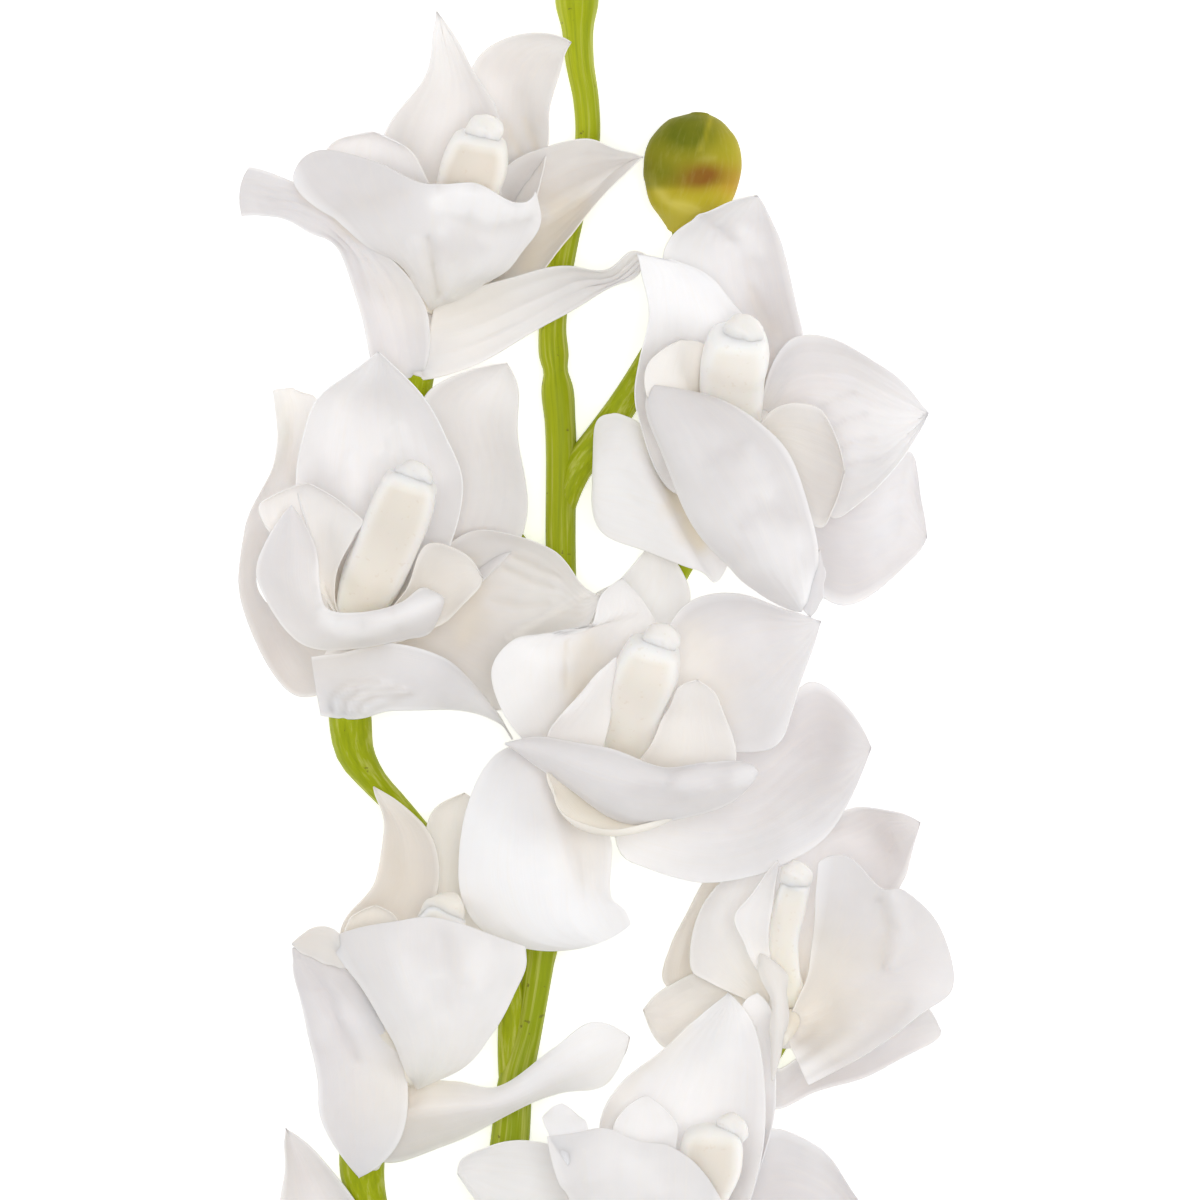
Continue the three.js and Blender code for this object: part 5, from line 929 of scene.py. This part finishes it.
def stem_material():
    """Green that is darker where the stalk is old, with painted light on its right side and painted
    shade on its left, pale and dark streaks and small flecks.
    """
    s = Shader("stalk_green")
    around, along, _ = s.split("blade")
    old, right, _ = s.split("tint")
    streaks = s.fibres((around, 22.0), (along, 14.0), 0.3, 4.0, 0.6)
    patches = s.grain(60.0, 3.0)
    dark = (0.20, 0.26, 0.004)
    base = s.mix(old, (0.41, 0.46, 0.004), (0.24, 0.315, 0.004))
    base = s.lay(base, (0.33, 0.39, 0.01), patches, 0.4, 0.75, 0.4)
    # Painted shade on the left side and painted light on the right, from the tint's second value.
    base = s.lay(base, dark, right, 0.2, -1.0, 0.4)
    base = s.lay(base, (0.50, 0.54, 0.04), right, 0.0, 1.0, 0.35)
    base = s.lay(base, dark, streaks, 0.46, 0.30, 0.5)
    base = s.lay(base, (0.60, 0.61, 0.16), streaks, 0.50, 0.68, 0.65)
    fleck = s.grain(420.0)
    base = s.lay(base, (0.14, 0.13, 0.02), fleck, 0.70, 0.74, 0.7)
    bumps = [(streaks, 0.5, 0.0006)]
    return s.finish(base, s.span(streaks, 0.3, 0.7, 0.42, 0.56), bumps, glow=0.12,
                    glow_depth=0.002, glow_reach=(0.8, 1.0, 0.2), specular=0.15)


def bud_material():
    """Yellow skin that turns green, orange and brown where the point's tint says."""
    s = Shader("bud_skin")
    blush, green, orange = s.split("tint")
    around, along, _ = s.split("blade")
    fibres = s.fibres((around, 60.0), (along, 5.0), 0.7, 4.0, 0.65)
    patches = s.grain(120.0, 3.0)
    base = s.mix(s.span(patches, 0.3, 0.7, 0.0, 1.0), (0.50, 0.43, 0.03), (0.54, 0.45, 0.04))
    # Below 0, orange turns the skin pale: the lowest sepal's lap, a painted highlight, and painted light
    # low on the bud.
    base = s.lay(base, (0.68, 0.59, 0.12), orange, 0.0, -1.0, 0.8)
    base = s.lay(base, (0.50, 0.28, 0.035), orange, 0.0, 1.0, 0.8)
    green = s.maths("MULTIPLY", green, s.span(patches, 0.2, 0.7, 1.0, 0.85))
    base = s.mix(green, base, (0.13, 0.155, 0.012))
    blush = s.maths("MULTIPLY", blush, s.span(patches, 0.25, 0.7, 0.8, 1.0))
    base = s.mix(blush, base, (0.25, 0.09, 0.02))
    base = s.lay(base, (0.62, 0.56, 0.20), fibres, 0.5, 0.75, 0.15)
    fine = s.grain(900.0)
    bumps = ((fine, 0.2, 0.00012), (fibres, 0.2, 0.0002))
    return s.finish(base, s.span(fine, 0.3, 0.7, 0.36, 0.48), bumps, glow=0.05, glow_depth=0.002,
                    glow_reach=(1.0, 0.7, 0.2), specular=0.02)


# The colour that petals and lips are painted toward where they lie in shade.
PAINTED_SHADE = (0.69, 0.665, 0.675)
PETAL = petal_material("petal_wax", (0.97, 0.955, 0.965), PAINTED_SHADE, (0.91, 0.81, 0.65))
LIP = petal_material("lip_wax", (0.96, 0.94, 0.95), PAINTED_SHADE, (0.92, 0.83, 0.66))
COLUMN = column_material()
STALK_GREEN = stem_material()
BUD_SKIN = bud_material()


# ---------------------------------------------------------------- the pieces

def face_of(t, angle):
    """1 on the sunken face that a column turns upward, 0 on the rims beside and above it."""
    away = np.abs(angle - math.pi / 2)
    return (1 - smooth(away, 0.52, 0.92)) * (1 - smooth(t, 1.0, 1.045))


def column_shape(t, angle):
    """A column's section: a rounded box with its face sunk between two rims."""
    box = (np.abs(np.cos(angle)) ** 3 + np.abs(np.sin(angle)) ** 3) ** (-1 / 3)
    return box * (1 - 0.1 * face_of(t, angle))


def cap_shape(t, angle):
    """The cap's two pollen lobes, with a furrow between them."""
    lobes = 0.12 * np.cos(2 * angle) * math.sin(math.pi * t) + 0.05 * np.cos(5 * angle + 9 * t)
    return 1 + lobes - 0.08 * math.exp(-((t - 0.5) / 0.12) ** 2)


def build_bloom(number, name, tables):
    """A bloom's three pieces, each over the CAD node that it stands for."""
    throat = np.array(tables["column"][0][:3], float)
    column_shade, cap_shade = tables["shades"]

    def add_blades(parts, group, seed, **usual):
        for key, (shading, ribs) in tables[group].items():
            detail = {**usual, **DETAIL.get(f"{name}.{key}", {})}
            add_blade(parts, ribs, throat, seed, shading, **detail)
            seed += 1

    def column_tint(t, angle, ring):
        """Tan on the face and cream on the rims, yellower and paler at the root as painted light, and
        darker at the end and on the right rim as painted shade; a column shade below 0 makes the
        face less tan, as painted light."""
        face, low = face_of(t, angle), 1 - smooth(t, 0.0, 0.6)
        shaded = max(0, column_shade + 0.45 * smooth(t, 0.4, 0.9) - 0.3 * low)
        rim = 0.2 * shaded + 0.15 * np.maximum(np.cos(angle), 0)
        tan = face * min(1, 1 + column_shade)
        return np.stack([rim + (shaded - rim) * face, tan, 0 * face + low], axis=1)

    tepals, lip, column = Parts(), Parts(), Parts()
    # The receptacle's third tint value, 0.4, is painted shade.
    add_round(tepals, tables["receptacle"], sides=24, steps=14, tint=(0.3, 0, 0.4))
    add_blades(tepals, "tepals", 10 * number)
    tepals.build(f"{name}_sepals_petals", PETAL, "petal", f"{name}_tepals")
    add_round(lip, tables["claw"], sides=20, steps=12, tint=(0.8, 0, 0))
    add_blades(lip, "lip", 10 * number + 5, thick=0.9)
    lip.build(f"{name}_labellum", LIP, "lip", f"{name}_lip")
    add_round(column, tables["column"], sides=40, steps=60, tint=column_tint,
              shape=column_shape)
    add_round(column, tables["cap"], sides=32, steps=24, tint=(cap_shade, 1, 0),
              shape=cap_shape)
    column.build(f"{name}_column_and_cap", COLUMN, "column", f"{name}_column")


def bud_shape(t, angle):
    """Three overlapping sepals: each rises over the next along a line that winds to the tip."""
    turn = (angle / (2 * math.pi) * 3 + 0.35 * t) % 1.0
    return 1 + 0.035 * (turn - 0.5) * smooth(t, 0.05, 0.3)


def bud_tint(rows):
    """Green on the crown and to the left of a pale seam, the left partly painted shade, orange at the
    lower right, with a brown blush in the middle, a pale line where the lowest sepal laps over,
    a painted highlight (the gleam) and painted light low on the bud."""
    widest = rows[rows[:, 3] > 0.98 * rows[:, 3].max()].mean(axis=0)

    def spot(places, right, up, width, height):
        return np.exp(-(((places - [right, up]) / [width, height]) ** 2).sum(axis=1))

    def tint(t, angle, ring):
        right, up, _ = ((ring - widest[:3]) / widest[3]).T
        places = np.stack([right, up], axis=1)
        seam = near_line(places, [[0.17, 0.3], [0.38, 1.0]], 0.06)
        # The gleam is a painted highlight.
        gleam = near_line(places, [[0.15, 0.1], [0.45, 0.13]], 0.1)
        lap = [[-0.92, -0.18], [-0.79, -0.45], [-0.5, -0.78], [0.1, -0.95]]
        pale = near_line(places, lap, 0.12)
        crown = spot(places, 0.0, 0.65, 0.5, 0.42)
        # Greener to the left: partly the bud's own colour and partly painted shade.
        green = 0.42 - 0.3 * right + 0.2 * up + 0.65 * crown - 0.4 * seam - smooth(-up, 0.35, 0.75)
        green += 0.25 * spot(places, -0.5, -0.2, 0.35, 0.25)
        blush = 1.05 * spot(places, 0.24, -0.2, 0.42, 0.22) + 0.5 * spot(places, 0, -0.4, 0.45, 0.2)
        orange = spot(places, 0.85, -0.35, 0.35, 0.35) - 0.7 * gleam - pale
        # Painted light: the lowest part is turned pale.
        orange -= 0.5 * smooth(-up, 0.7, 1.1)
        return np.stack([np.clip(blush, 0, 1), np.clip(green, 0, 1), orange], axis=1)

    return tint


def stalk_shape(t, angle):
    return 1 + 0.02 * np.cos(5 * angle + 9 * t)


def stalk_tint(t, angle, ring):
    """How old the stalk is there, and how far a point lies to the right, for the painted light on the
    right side and the painted shade on the left.
    """
    return np.stack([np.full_like(angle, smooth(t, 0.1, 0.75)), np.cos(angle), 0 * angle], axis=1)


def build_stem():
    parts = Parts()
    add_round(parts, STALK, sides=28, steps=420, tint=stalk_tint, shape=stalk_shape, dome=0)
    for rows in BRANCHES.values():
        add_round(parts, rows, sides=20, steps=36, tint=(0.3, 0, 0))
    parts.build("stalk_and_branches", STALK_GREEN, "stem", "stem")


def build_buds():
    for name, rows in BUDS.items():
        parts = Parts()
        tint = bud_tint(np.array(rows, float))
        add_round(parts, rows, sides=60, steps=48, tint=tint, shape=bud_shape, dome=0.2)
        parts.build(f"{name}_skin", BUD_SKIN, "bud", name)


for number, (name, tables) in enumerate(BLOOMS.items()):
    build_bloom(number, name, tables)
build_buds()
build_stem()


# ---------------------------------------------------------------- floor, light and camera

VIEW_HEIGHT = 4.0        # the camera's height over the blooms' faces
VIEW_WIDTH = 0.3         # what the picture spans there
FACE_HEIGHT = 0.035
WHITE = (1.0, 1.0, 1.0, 1.0)


def make_floor():
    bpy.ops.mesh.primitive_plane_add(size=8.0, location=(0, 0, 0))
    floor = bpy.context.object
    floor.name = "floor"
    s = Shader("pale_floor")
    s.feed(s.surface, {
        "Base Color": s.mix(s.grain(3.0), (0.93, 0.93, 0.93), (0.95, 0.95, 0.95)),
        "Emission Color": WHITE, "Emission Strength": 0.45,
        "Roughness": 0.9, "Specular IOR Level": 0.0})
    floor.data.materials.append(s.material)
    floor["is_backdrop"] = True


def make_light(name, place, size, watts):
    """A round lamp that shines on the middle of the stem and isn't seen itself."""
    data = bpy.data.lights.new(name, "AREA")
    data.shape = "DISK"
    data.size = size
    data.energy = watts
    lamp = bpy.data.objects.new(name, data)
    lamp.location = place
    lamp.rotation_euler = (-Vector(place)).to_track_quat("-Z", "Y").to_euler()
    lamp.visible_camera = False
    bpy.context.scene.collection.objects.link(lamp)


def make_world(strength):
    world = bpy.data.worlds.new("studio")
    world.use_nodes = True
    background = world.node_tree.nodes["Background"]
    background.inputs["Color"].default_value = WHITE
    background.inputs["Strength"].default_value = strength
    bpy.context.scene.world = world


def make_camera():
    data = bpy.data.cameras.new("camera")
    data.sensor_width = 36.0
    data.lens = data.sensor_width * VIEW_HEIGHT / VIEW_WIDTH
    data.clip_end = 5 * VIEW_HEIGHT
    camera = bpy.data.objects.new("camera", data)
    centre = -TABLE_ORIGIN * MM
    camera.location = (centre[0], centre[1], FACE_HEIGHT + VIEW_HEIGHT)
    bpy.context.scene.collection.objects.link(camera)
    bpy.context.scene.camera = camera


make_floor()
make_light("overhead", (0.1, 0.1, 2.2), size=0.9, watts=15.7)
make_light("right", (1.45, 0.15, 0.95), size=0.7, watts=5.0)
make_light("left", (-1.3, 0.5, 1.0), size=0.7, watts=3.25)
make_world(strength=0.54)
make_camera()
bpy.context.scene.view_settings.view_transform = "Standard"

boxes = {"cad": CAD_BOX, "visual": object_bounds()}
{key: [list(corner) for corner in box] for key, box in boxes.items()}
